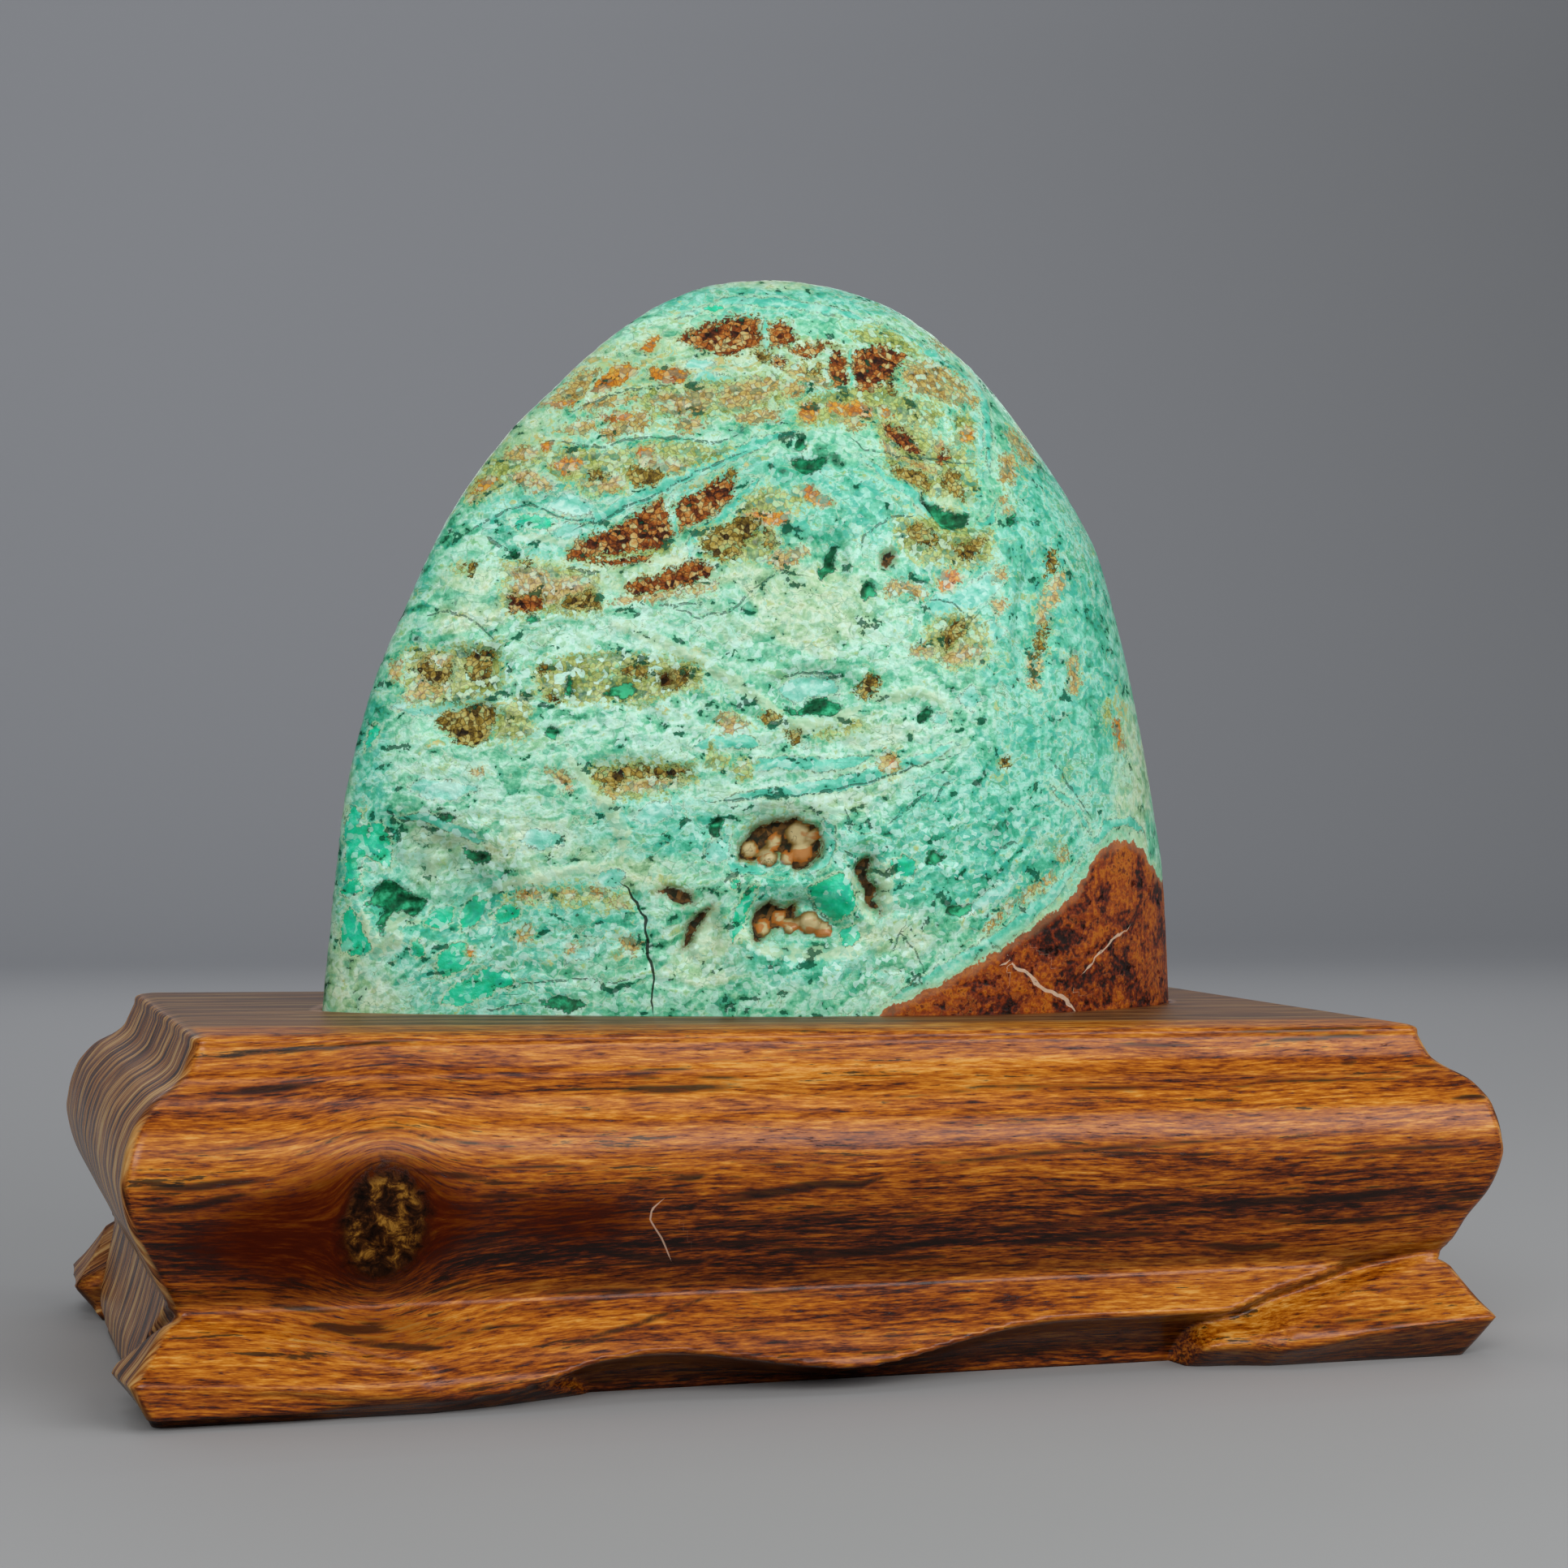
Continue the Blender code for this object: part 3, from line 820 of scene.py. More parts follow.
@dataclass(frozen=True)
class StoneMarks:
    """The dome's patches, bands, pits and cracks, set where the photograph has them."""

    pixel: float = 0.00017
    patches: tuple[Patch, ...] = all_of(RUST, (
        (838, 418, 854, 406, 880, 396, 908, 389, 934, 390, 937, 422, 914, 428, 896, 434, 878, 431,
         860, 424),
        (947, 400, 962, 395, 976, 402, 981, 414, 968, 424, 951, 424),
        (974, 429, 992, 421, 1019, 419, 1008, 432, 997, 438, 984, 437),
        (1024, 424, 1036, 426, 1045, 446, 1044, 470, 1030, 471, 1023, 456),
        (1052, 434, 1066, 428, 1088, 426, 1118, 438, 1106, 450, 1098, 463, 1086, 468, 1076, 479,
         1060, 477, 1055, 460),
        (952, 438, 968, 442, 963, 453, 951, 449),
        (700, 686, 711, 668, 735, 656, 762, 644, 786, 630, 801, 620, 818, 612, 824, 640, 828, 658,
         812, 673, 772, 679, 738, 682, 716, 689),
        (712, 685, 742, 688, 772, 686, 800, 684, 798, 691, 776, 695, 744, 695),
        (831, 622, 850, 610, 872, 597, 892, 588, 906, 592, 902, 611, 888, 623, 870, 634, 856, 643,
         840, 651),
        (770, 723, 787, 714, 806, 711, 822, 702, 842, 695, 862, 691, 880, 698, 874, 709, 856, 716,
         834, 725, 812, 729, 782, 732),
        (627, 733, 640, 738, 655, 730, 672, 736, 668, 751, 626, 752),
        (1090, 522, 1106, 526, 1122, 530, 1128, 543, 1140, 556, 1124, 556, 1108, 546, 1096, 536),
        (1161, 558, 1168, 552, 1175, 560, 1168, 570, 1160, 568),
    )) + all_of(LOAM, (
        (1094, 460, 1105, 460, 1104, 484, 1096, 484), (996, 452, 1012, 446, 1014, 456, 1000, 460),
        (928, 434, 950, 431, 948, 442, 932, 444), (894, 582, 906, 576, 908, 583, 897, 590),
        (864, 676, 872, 660, 887, 649, 907, 640, 926, 636, 936, 642, 930, 656, 918, 668, 910, 682,
         893, 690, 880, 683),
        (936, 650, 951, 655, 957, 668, 948, 678, 940, 672, 946, 662),
        (690, 745, 703, 733, 716, 734, 727, 721, 733, 736, 743, 749, 716, 752),
        (570, 692, 584, 692, 587, 699, 576, 708), (640, 693, 654, 692, 648, 699),
        (1098, 573, 1116, 572, 1136, 578, 1151, 590, 1148, 600, 1130, 597, 1112, 589),
        (1162, 583, 1175, 573, 1189, 585, 1186, 598, 1197, 612, 1183, 611, 1168, 598),
        (1118, 651, 1134, 645, 1150, 655, 1160, 666, 1146, 672, 1128, 667),
        (1172, 669, 1190, 669, 1206, 662, 1216, 668, 1206, 680, 1195, 690, 1184, 681),
        (724, 582, 736, 577, 751, 584, 745, 592, 729, 590),
        (770, 580, 786, 574, 812, 580, 826, 585, 806, 596, 782, 600),
        (506, 822, 524, 812, 540, 820, 555, 816, 552, 834, 540, 842, 520, 836),
        (569, 803, 588, 800, 609, 804, 603, 822, 600, 843, 586, 838, 575, 828),
        (534, 885, 549, 880, 568, 871, 590, 866, 610, 874, 606, 890, 604, 906, 594, 913, 578, 920,
         564, 914, 549, 904),
        (764, 826, 780, 820, 798, 824, 803, 834, 786, 834, 770, 832),
        (815, 831, 830, 821, 845, 824, 854, 831, 845, 842, 830, 848, 818, 845),
        (732, 957, 745, 947, 771, 944, 801, 945, 848, 948, 836, 957, 800, 958, 772, 957, 758, 974,
         744, 966),
        (1056, 850, 1065, 838, 1075, 828, 1086, 836, 1082, 850, 1070, 862),
        (935, 880, 950, 876, 966, 884, 958, 891, 942, 888),
        (970, 903, 984, 901, 988, 911, 976, 917),
        (1160, 782, 1176, 768, 1188, 758, 1192, 770, 1186, 786, 1166, 800),
        (1232, 936, 1244, 934, 1243, 944, 1233, 945), (665, 822, 676, 817, 680, 826, 668, 830),
        (672, 857, 686, 853, 690, 864, 678, 866),
        (1296, 680, 1302, 682, 1300, 704, 1293, 706, 1292, 692),
        (1280, 792, 1292, 768, 1298, 772, 1290, 798, 1280, 812),
    )) + all_of(OCHRE, (
        (722, 484, 736, 468, 752, 454, 768, 448, 783, 453, 784, 463, 770, 468, 760, 477, 744, 483),
        (787, 430, 796, 419, 809, 416, 811, 423, 806, 432, 795, 435),
        (800, 455, 816, 453, 838, 452, 850, 460, 846, 469, 828, 472, 802, 467),
        (766, 655, 766, 643, 776, 641, 783, 650, 776, 658),
        (774, 666, 786, 655, 801, 657, 796, 668), (800, 640, 812, 632, 814, 642, 804, 646),
        (851, 622, 857, 611, 867, 612, 864, 622), (876, 612, 884, 600, 896, 601, 892, 613),
        (836, 640, 844, 629, 852, 632, 846, 643),
        (679, 573, 690, 565, 708, 562, 719, 567, 711, 580, 694, 584),
        (582, 605, 590, 595, 603, 588, 612, 590, 606, 600, 594, 607),
        (664, 552, 668, 545, 680, 545, 680, 553, 670, 557),
        (782, 560, 788, 551, 803, 552, 804, 562, 790, 564),
        (985, 507, 992, 496, 1002, 498, 1010, 503, 1006, 516, 992, 520),
        (1020, 494, 1040, 499, 1052, 492, 1061, 487, 1075, 500, 1073, 514, 1050, 511, 1034, 510,
         1023, 508),
        (1083, 500, 1094, 502, 1104, 511, 1094, 516, 1085, 510),
        (1186, 532, 1192, 524, 1199, 532, 1195, 541, 1187, 540),
        (985, 603, 1001, 600, 1014, 610, 1026, 621, 1009, 625, 994, 616),
        (914, 634, 932, 627, 950, 634, 972, 630, 974, 642, 950, 648, 922, 643),
        (736, 512, 758, 507, 782, 510, 776, 518, 748, 520),
        (672, 498, 694, 492, 712, 490, 706, 498, 684, 503),
        (1156, 716, 1164, 703, 1180, 700, 1189, 712, 1180, 725, 1162, 728),
        (1372, 885, 1378, 890, 1386, 918, 1382, 926, 1374, 908),
        (915, 1057, 918, 1042, 930, 1034, 942, 1040, 938, 1056, 924, 1062),
        (951, 1038, 958, 1027, 968, 1032, 966, 1042, 976, 1050, 986, 1066, 974, 1064, 964, 1048),
        (956, 1133, 962, 1125, 974, 1127, 974, 1136, 962, 1139),
        (1092, 945, 1096, 933, 1106, 932, 1106, 944, 1098, 950),
        (575, 1169, 582, 1167, 583, 1177, 577, 1179),
        (1096, 1247, 1110, 1238, 1140, 1231, 1160, 1238, 1140, 1250, 1100, 1253),
        (546, 884, 556, 878, 566, 884, 560, 900, 552, 902),
    )) + all_of(TAN, (
        (664, 500, 690, 478, 708, 464, 724, 457, 738, 455, 724, 480, 718, 492, 700, 496),
        (800, 493, 814, 482, 836, 486, 852, 480, 872, 476, 883, 482, 877, 500, 862, 509, 845, 514,
         826, 508),
        (885, 490, 895, 475, 916, 470, 936, 466, 957, 464, 962, 473, 948, 486, 938, 493, 920, 501,
         905, 504, 893, 500),
        (688, 530, 702, 522, 722, 518, 739, 520, 735, 530, 714, 534),
        (738, 537, 748, 525, 764, 512, 781, 506, 799, 510, 800, 520, 789, 530, 770, 535, 750, 541),
        (826, 522, 848, 515, 870, 520, 860, 532, 838, 532),
        (905, 512, 926, 506, 958, 505, 960, 516, 930, 522, 908, 520),
        (618, 560, 641, 549, 664, 552, 668, 560, 650, 567, 630, 567),
        (626, 585, 645, 578, 676, 590, 682, 600, 654, 607, 640, 600),
        (572, 612, 588, 604, 594, 610, 580, 620),
        (735, 663, 760, 655, 766, 668, 750, 678, 724, 681, 722, 672),
        (628, 700, 645, 697, 671, 702, 681, 715, 690, 712, 726, 712, 732, 722, 720, 734, 694, 740,
         676, 748, 640, 740, 625, 735, 630, 718),
        (752, 742, 770, 733, 806, 731, 846, 724, 884, 714, 880, 724, 850, 732, 806, 739, 776, 742),
        (960, 700, 944, 690, 958, 676, 972, 680, 990, 672, 996, 680, 980, 694),
        (723, 598, 730, 590, 752, 594, 764, 602, 750, 606),
        (1110, 458, 1130, 442, 1152, 447, 1176, 461, 1191, 475, 1204, 492, 1203, 503, 1188, 498,
         1165, 492, 1140, 486, 1118, 480),
        (1086, 543, 1100, 548, 1112, 560, 1098, 562),
        (728, 588, 744, 582, 770, 588, 766, 602, 742, 606),
        (782, 566, 800, 560, 830, 566, 850, 572, 826, 584, 790, 578),
        (968, 452, 990, 446, 1030, 470, 1020, 478, 986, 470),
        (960, 474, 976, 468, 992, 478, 984, 490, 966, 486),
        (1034, 516, 1056, 514, 1070, 524, 1050, 530),
        (710, 500, 736, 490, 776, 486, 792, 490, 760, 500, 724, 506),
        (862, 664, 884, 652, 900, 662, 880, 676),
        (1104, 560, 1130, 562, 1156, 574, 1160, 588, 1130, 572),
        (1152, 548, 1166, 540, 1172, 550, 1160, 556),
        (1232, 562, 1246, 558, 1254, 580, 1248, 596, 1232, 594),
        (1232, 612, 1243, 610, 1246, 630, 1237, 634), (1145, 421, 1157, 420, 1172, 432, 1160, 433),
        (1240, 530, 1255, 535, 1268, 551, 1276, 572, 1264, 571, 1254, 556),
        (1090, 722, 1110, 714, 1136, 720, 1146, 730, 1135, 738, 1112, 731, 1092, 735),
        (1226, 700, 1239, 700, 1240, 714, 1228, 716), (1222, 742, 1236, 739, 1242, 750, 1228, 757),
        (1160, 808, 1180, 795, 1200, 794, 1213, 800, 1196, 813, 1170, 818),
        (1122, 800, 1138, 793, 1152, 799, 1146, 810, 1130, 811),
        (510, 812, 530, 806, 556, 805, 559, 816, 550, 835, 555, 850, 534, 862, 503, 862, 500, 854,
         512, 840, 507, 825),
        (480, 818, 494, 812, 498, 832, 484, 840),
        (740, 968, 760, 962, 790, 958, 826, 957, 838, 960, 818, 968, 795, 973, 770, 972, 756, 986,
         746, 979),
        (671, 950, 690, 949, 706, 960, 705, 973, 690, 968, 678, 958),
        (580, 950, 594, 944, 600, 952, 590, 957),
        (1082, 936, 1094, 924, 1107, 929, 1108, 945, 1096, 956, 1084, 948),
        (880, 886, 900, 878, 920, 892, 908, 904, 890, 900),
        (634, 1103, 650, 1092, 668, 1095, 671, 1102, 655, 1109),
        (688, 1100, 698, 1093, 710, 1098, 704, 1105),
        (724, 1100, 734, 1094, 748, 1100, 744, 1109, 730, 1107),
        (752, 1110, 768, 1106, 772, 1116, 758, 1118),
        (631, 1159, 640, 1148, 652, 1139, 659, 1148, 650, 1160, 640, 1163),
        (762, 1158, 776, 1150, 788, 1166, 780, 1178, 768, 1172),
        (696, 1166, 712, 1160, 716, 1168, 700, 1176),
        (1215, 1146, 1228, 1126, 1248, 1107, 1254, 1110, 1238, 1128, 1222, 1147),
        (1256, 1108, 1276, 1088, 1298, 1076, 1300, 1080, 1280, 1096, 1262, 1113),
        (1304, 1050, 1310, 1044, 1316, 1056, 1311, 1066, 1305, 1060),
        (1318, 812, 1326, 808, 1330, 840, 1324, 860, 1318, 850),
        (1302, 702, 1313, 704, 1312, 726, 1300, 746, 1294, 766, 1284, 780, 1286, 750, 1294, 726),
        (1272, 802, 1290, 798, 1286, 822, 1279, 850, 1270, 838),
    )) + all_of(OLIVE, (
        (776, 560, 786, 548, 802, 545, 830, 545, 860, 548, 884, 552, 906, 552, 896, 560, 872, 568,
         856, 575, 836, 583, 815, 586, 794, 580, 780, 572),
        (600, 590, 602, 572, 618, 564, 626, 574, 612, 590),
        (568, 616, 586, 588, 608, 566, 626, 552, 668, 548, 672, 566, 640, 580, 612, 604, 584, 620),
        (672, 560, 700, 552, 740, 556, 776, 552, 782, 590, 770, 606, 724, 608, 706, 592, 676, 586),
        (780, 480, 830, 472, 888, 470, 960, 458, 972, 470, 966, 492, 920, 508, 860, 516, 800, 512),
        (1040, 476, 1090, 470, 1110, 484, 1130, 500, 1090, 516, 1020, 520, 980, 524, 984, 494,
         1010, 486),
        (1100, 640, 1150, 636, 1222, 652, 1226, 688, 1194, 700, 1140, 690, 1108, 676),
        (1140, 775, 1165, 758, 1200, 750, 1216, 780, 1216, 818, 1180, 824, 1146, 812),
        (722, 946, 760, 938, 852, 940, 858, 962, 820, 976, 770, 982, 738, 978),
        (496, 800, 616, 792, 618, 850, 560, 868, 500, 868),
        (860, 655, 905, 640, 950, 646, 964, 668, 944, 690, 900, 694, 866, 686),
        (618, 690, 740, 704, 742, 756, 680, 756, 618, 756),
        (1080, 516, 1130, 520, 1200, 560, 1206, 610, 1150, 608, 1096, 580),
        (690, 1092, 620, 1104, 640, 1112, 720, 1112, 780, 1122, 776, 1104),
        (1050, 410, 1070, 402, 1102, 412, 1127, 424, 1134, 438, 1110, 433, 1080, 424, 1060, 425),
        (1090, 498, 1112, 489, 1142, 496, 1162, 510, 1150, 526, 1120, 520, 1102, 512),
        (1172, 515, 1190, 508, 1202, 520, 1198, 548, 1180, 548),
        (918, 612, 942, 602, 966, 605, 986, 600, 998, 612, 976, 625, 960, 641, 935, 650, 914, 645,
         904, 630),
        (556, 700, 566, 691, 574, 694, 574, 706, 562, 707),
        (656, 826, 700, 808, 760, 804, 830, 812, 866, 820, 862, 846, 820, 858, 770, 866, 715, 866,
         670, 862),
        (611, 882, 625, 868, 640, 855, 659, 852, 655, 870, 650, 885, 661, 898, 645, 910, 620, 913,
         608, 902),
        (700, 676, 730, 672, 790, 676, 826, 668, 830, 676, 800, 684, 742, 688, 706, 690),
        (868, 930, 876, 916, 884, 930, 900, 934, 890, 948, 874, 944),
        (1002, 903, 1030, 897, 1056, 887, 1064, 894, 1040, 905, 1012, 910),
        (1188, 800, 1202, 778, 1216, 790, 1210, 806), (1360, 866, 1369, 868, 1370, 892, 1362, 896),
        (1118, 672, 1146, 672, 1168, 668, 1172, 680, 1150, 684),
        (900, 950, 912, 936, 930, 940, 928, 956, 910, 962),
    )) + all_of(EMERALD, (
        (429, 992, 443, 1000, 440, 1020, 450, 1014, 470, 1015, 478, 1040, 475, 1070, 460, 1060,
         446, 1050, 440, 1080, 424, 1085, 424, 1040),
        (424, 1090, 440, 1082, 446, 1096, 434, 1104, 422, 1102),
        (427, 1118, 440, 1130, 450, 1150, 458, 1172, 445, 1178, 419, 1175, 421, 1145),
        (565, 1128, 572, 1112, 586, 1104, 600, 1112, 590, 1135, 571, 1146),
        (606, 1130, 616, 1115, 636, 1113, 642, 1126, 628, 1137, 612, 1138),
        (535, 1180, 550, 1165, 571, 1164, 585, 1180, 571, 1195, 550, 1205, 538, 1200),
        (543, 1236, 560, 1214, 590, 1200, 602, 1190, 622, 1195, 632, 1211, 600, 1226, 571, 1240),
        (505, 1165, 512, 1158, 526, 1166, 520, 1178, 508, 1176),
        (520, 1138, 530, 1120, 552, 1118, 556, 1134, 540, 1146),
        (996, 1096, 1010, 1085, 1031, 1075, 1046, 1085, 1056, 1105, 1051, 1126, 1036, 1136, 1014,
         1122, 1004, 1109),
        (935, 1085, 930, 1101, 921, 1121, 915, 1141, 905, 1160, 897, 1150, 904, 1125, 916, 1104),
        (1097, 1060, 1112, 1054, 1130, 1064, 1124, 1082, 1104, 1080),
        (1040, 1148, 1056, 1136, 1062, 1150, 1052, 1166, 1042, 1166),
        (626, 640, 646, 632, 690, 640, 676, 650, 640, 652),
        (866, 380, 882, 374, 892, 378, 880, 387),
        (455, 905, 462, 890, 470, 894, 462, 915, 448, 924),
        (900, 1085, 912, 1080, 914, 1092, 904, 1096),
    )) + all_of(SKY, (
        (677, 622, 690, 611, 712, 611, 734, 622, 728, 633, 704, 633),
        (678, 655, 691, 646, 712, 648, 717, 655, 704, 661),
        (692, 698, 716, 693, 730, 697, 712, 703),
        (852, 470, 866, 456, 884, 462, 912, 463, 900, 472, 876, 476),
        (842, 450, 856, 436, 880, 446, 866, 454),
        (1000, 483, 1020, 473, 1050, 477, 1061, 486, 1040, 494, 1010, 493),
        (1199, 552, 1202, 522, 1209, 520, 1210, 548, 1206, 566),
        (1150, 692, 1160, 681, 1182, 680, 1180, 690, 1164, 697),
        (1138, 747, 1160, 730, 1190, 725, 1219, 705, 1236, 716, 1226, 736, 1200, 749, 1170, 757,
         1148, 758),
        (1206, 770, 1224, 764, 1240, 776, 1226, 790, 1210, 786),
        (480, 869, 500, 865, 530, 862, 560, 856, 590, 852, 606, 850, 595, 864, 560, 873, 530, 880,
         498, 878),
        (734, 836, 738, 826, 752, 826, 756, 838, 744, 842),
        (960, 850, 975, 836, 1004, 832, 1030, 836, 1036, 852, 1004, 858, 978, 864),
        (780, 1010, 796, 990, 824, 988, 830, 1004, 806, 1016),
        (640, 1036, 654, 1022, 690, 1026, 696, 1040, 668, 1046),
        (868, 1058, 880, 1034, 900, 1032, 900, 1054, 884, 1066),
        (732, 1080, 760, 1068, 770, 1078, 764, 1092, 744, 1094),
        (696, 1185, 712, 1166, 732, 1168, 726, 1180),
        (1170, 1120, 1200, 1112, 1232, 1090, 1256, 1082, 1236, 1106, 1190, 1128),
        (1150, 880, 1168, 876, 1166, 892, 1152, 894), (1180, 860, 1198, 846, 1210, 862, 1196, 876),
        (506, 972, 520, 960, 560, 962, 590, 974, 560, 984, 522, 984),
    )) + all_of(PIT, (
        (980, 552, 984, 540, 991, 540, 994, 552, 986, 557),
        (974, 569, 990, 565, 1005, 563, 1021, 565, 1014, 577, 1000, 583, 984, 580),
        (1138, 612, 1150, 618, 1165, 624, 1185, 628, 1200, 632, 1196, 645, 1180, 651, 1162, 648,
         1155, 636, 1145, 625),
        (1008, 702, 1018, 690, 1026, 668, 1033, 670, 1030, 690, 1032, 702, 1020, 706, 1010, 712),
        (1058, 730, 1066, 718, 1076, 722, 1078, 732, 1066, 740),
        (965, 869, 985, 873, 1005, 861, 1021, 859, 1041, 870, 1030, 881, 1000, 878, 975, 881),
        (1130, 882, 1138, 870, 1148, 874, 1146, 886, 1134, 890),
        (1140, 1064, 1146, 1050, 1166, 1052, 1158, 1066),
        (1164, 1124, 1172, 1114, 1190, 1116, 1200, 1110, 1196, 1122, 1180, 1128),
        (459, 1096, 470, 1085, 482, 1088, 500, 1101, 521, 1108, 515, 1126, 500, 1129, 490, 1120,
         476, 1126, 470, 1152, 465, 1140, 468, 1120, 448, 1114),
        (534, 1004, 548, 1002, 562, 1004, 560, 1010, 544, 1010),
        (568, 1046, 600, 1050, 606, 1058, 588, 1064, 574, 1058),
        (666, 1233, 690, 1228, 713, 1232, 722, 1242, 700, 1248, 680, 1242),
        (1240, 640, 1249, 635, 1250, 644, 1243, 649), (628, 684, 634, 674, 644, 680, 638, 688),
        (652, 768, 650, 758, 660, 760, 664, 766),
        (741, 856, 758, 846, 778, 842, 786, 852, 770, 862),
        (872, 1016, 884, 1006, 892, 1014, 884, 1032, 874, 1028),
        (672, 902, 680, 892, 692, 900, 684, 910), (696, 858, 698, 838, 705, 834, 704, 856),
    )) + all_of(CAVE, (
        (909, 1056, 920, 1034, 938, 1017, 960, 1011, 985, 1009, 1006, 1019, 1016, 1035, 1011, 1056,
         1000, 1070, 984, 1072, 975, 1060, 964, 1048, 950, 1048, 930, 1061),
        (928, 1156, 928, 1140, 935, 1121, 951, 1114, 970, 1120, 984, 1116, 984, 1140, 966, 1142,
         945, 1151, 935, 1161),
        (1057, 1068, 1070, 1057, 1079, 1060, 1076, 1080, 1083, 1100, 1086, 1125, 1077, 1118, 1069,
         1095, 1061, 1080),
        (808, 1098, 830, 1094, 849, 1100, 853, 1113, 840, 1113, 825, 1106),
        (876, 1118, 862, 1126, 848, 1141, 841, 1170, 849, 1166, 858, 1144, 868, 1132),
        (1085, 694, 1088, 682, 1098, 678, 1102, 688, 1094, 698),
        (815, 845, 814, 832, 824, 826, 828, 840),
    ))
    balls: tuple[tuple[float, float, float], ...] = (
        (988, 1026, 15), (993, 1048, 14), (958, 1036, 10), (975, 1057, 9), (948, 1056, 13),
        (926, 1046, 11), (944, 1144, 10), (964, 1131, 9), (1001, 1137, 15), (1020, 1146, 11),
        (978, 1142, 10), (1006, 1030, 8),
    )
    ribbons: tuple[Stroke, ...] = (
        Stroke((990, 532, 948, 540, 905, 558, 860, 579, 820, 598, 780, 616, 742, 634, 700, 648),
               8),
        Stroke((850, 694, 850, 672, 862, 656, 884, 640, 904, 622, 922, 604, 938, 586), 6),
        Stroke((1048, 556, 1070, 568, 1096, 590, 1130, 612, 1150, 640, 1172, 656, 1200, 654, 1222,
                640, 1228, 612), 6),
        Stroke((1090, 396, 1130, 424, 1172, 455, 1204, 478, 1214, 504, 1218, 545, 1220, 582), 5),
        Stroke((484, 1010, 520, 1006, 560, 1020, 600, 1040), 6),
        Stroke((1010, 1006, 1024, 1020, 1024, 1044, 1014, 1066, 992, 1080), 6),
        Stroke((905, 1030, 898, 1052, 908, 1070, 940, 1070, 966, 1060), 7),
        Stroke((1090, 400, 1030, 384, 960, 372, 890, 372, 830, 392), 5),
        Stroke((827, 606, 829, 634, 834, 664), 4),
        Stroke((942, 390, 943, 412, 945, 430), 4),
        Stroke((1049, 424, 1049, 450, 1052, 478), 3.5),
        Stroke((562, 800, 563, 830, 562, 852), 6),
        Stroke((880, 986, 960, 976, 1040, 966, 1092, 950, 1150, 930, 1192, 912), 8),
        Stroke((905, 948, 960, 940, 1040, 942, 1080, 930), 8),
        Stroke((850, 920, 900, 912, 940, 916), 9),
        Stroke((1284, 960, 1330, 1000, 1345, 1030), 3),
        Stroke((1346, 1044, 1366, 1016, 1392, 1010, 1410, 1030), 5),
        Stroke((1085, 1240, 1150, 1204, 1200, 1176, 1250, 1144, 1300, 1098, 1330, 1060), 9),
    )
    bars: tuple[Stroke, ...] = (
        Stroke((700, 938, 730, 966, 754, 1000, 768, 1028, 768, 1058), 7),
        Stroke((752, 764, 812, 790, 860, 812, 916, 846, 950, 872, 988, 900), 5),
        Stroke((940, 862, 952, 880, 980, 896, 1030, 888, 1060, 870), 6),
        Stroke((1062, 852, 1090, 862, 1130, 852, 1160, 862, 1172, 882), 4),
        Stroke((640, 660, 700, 668, 760, 690, 840, 690), 3),
        Stroke((924, 1166, 960, 1174, 1000, 1176, 1050, 1172, 1066, 1140), 6),
        Stroke((1046, 1066, 1052, 1090, 1066, 1112, 1074, 1136), 5),
        Stroke((1088, 1064, 1092, 1090, 1096, 1130), 5),
        Stroke((884, 1116, 870, 1140, 856, 1176), 7),
        Stroke((446, 1122, 452, 1146, 466, 1170, 486, 1160, 480, 1132, 494, 1130, 516, 1136), 8),
        Stroke((600, 1098, 640, 1086, 700, 1074, 740, 1066), 5),
    )
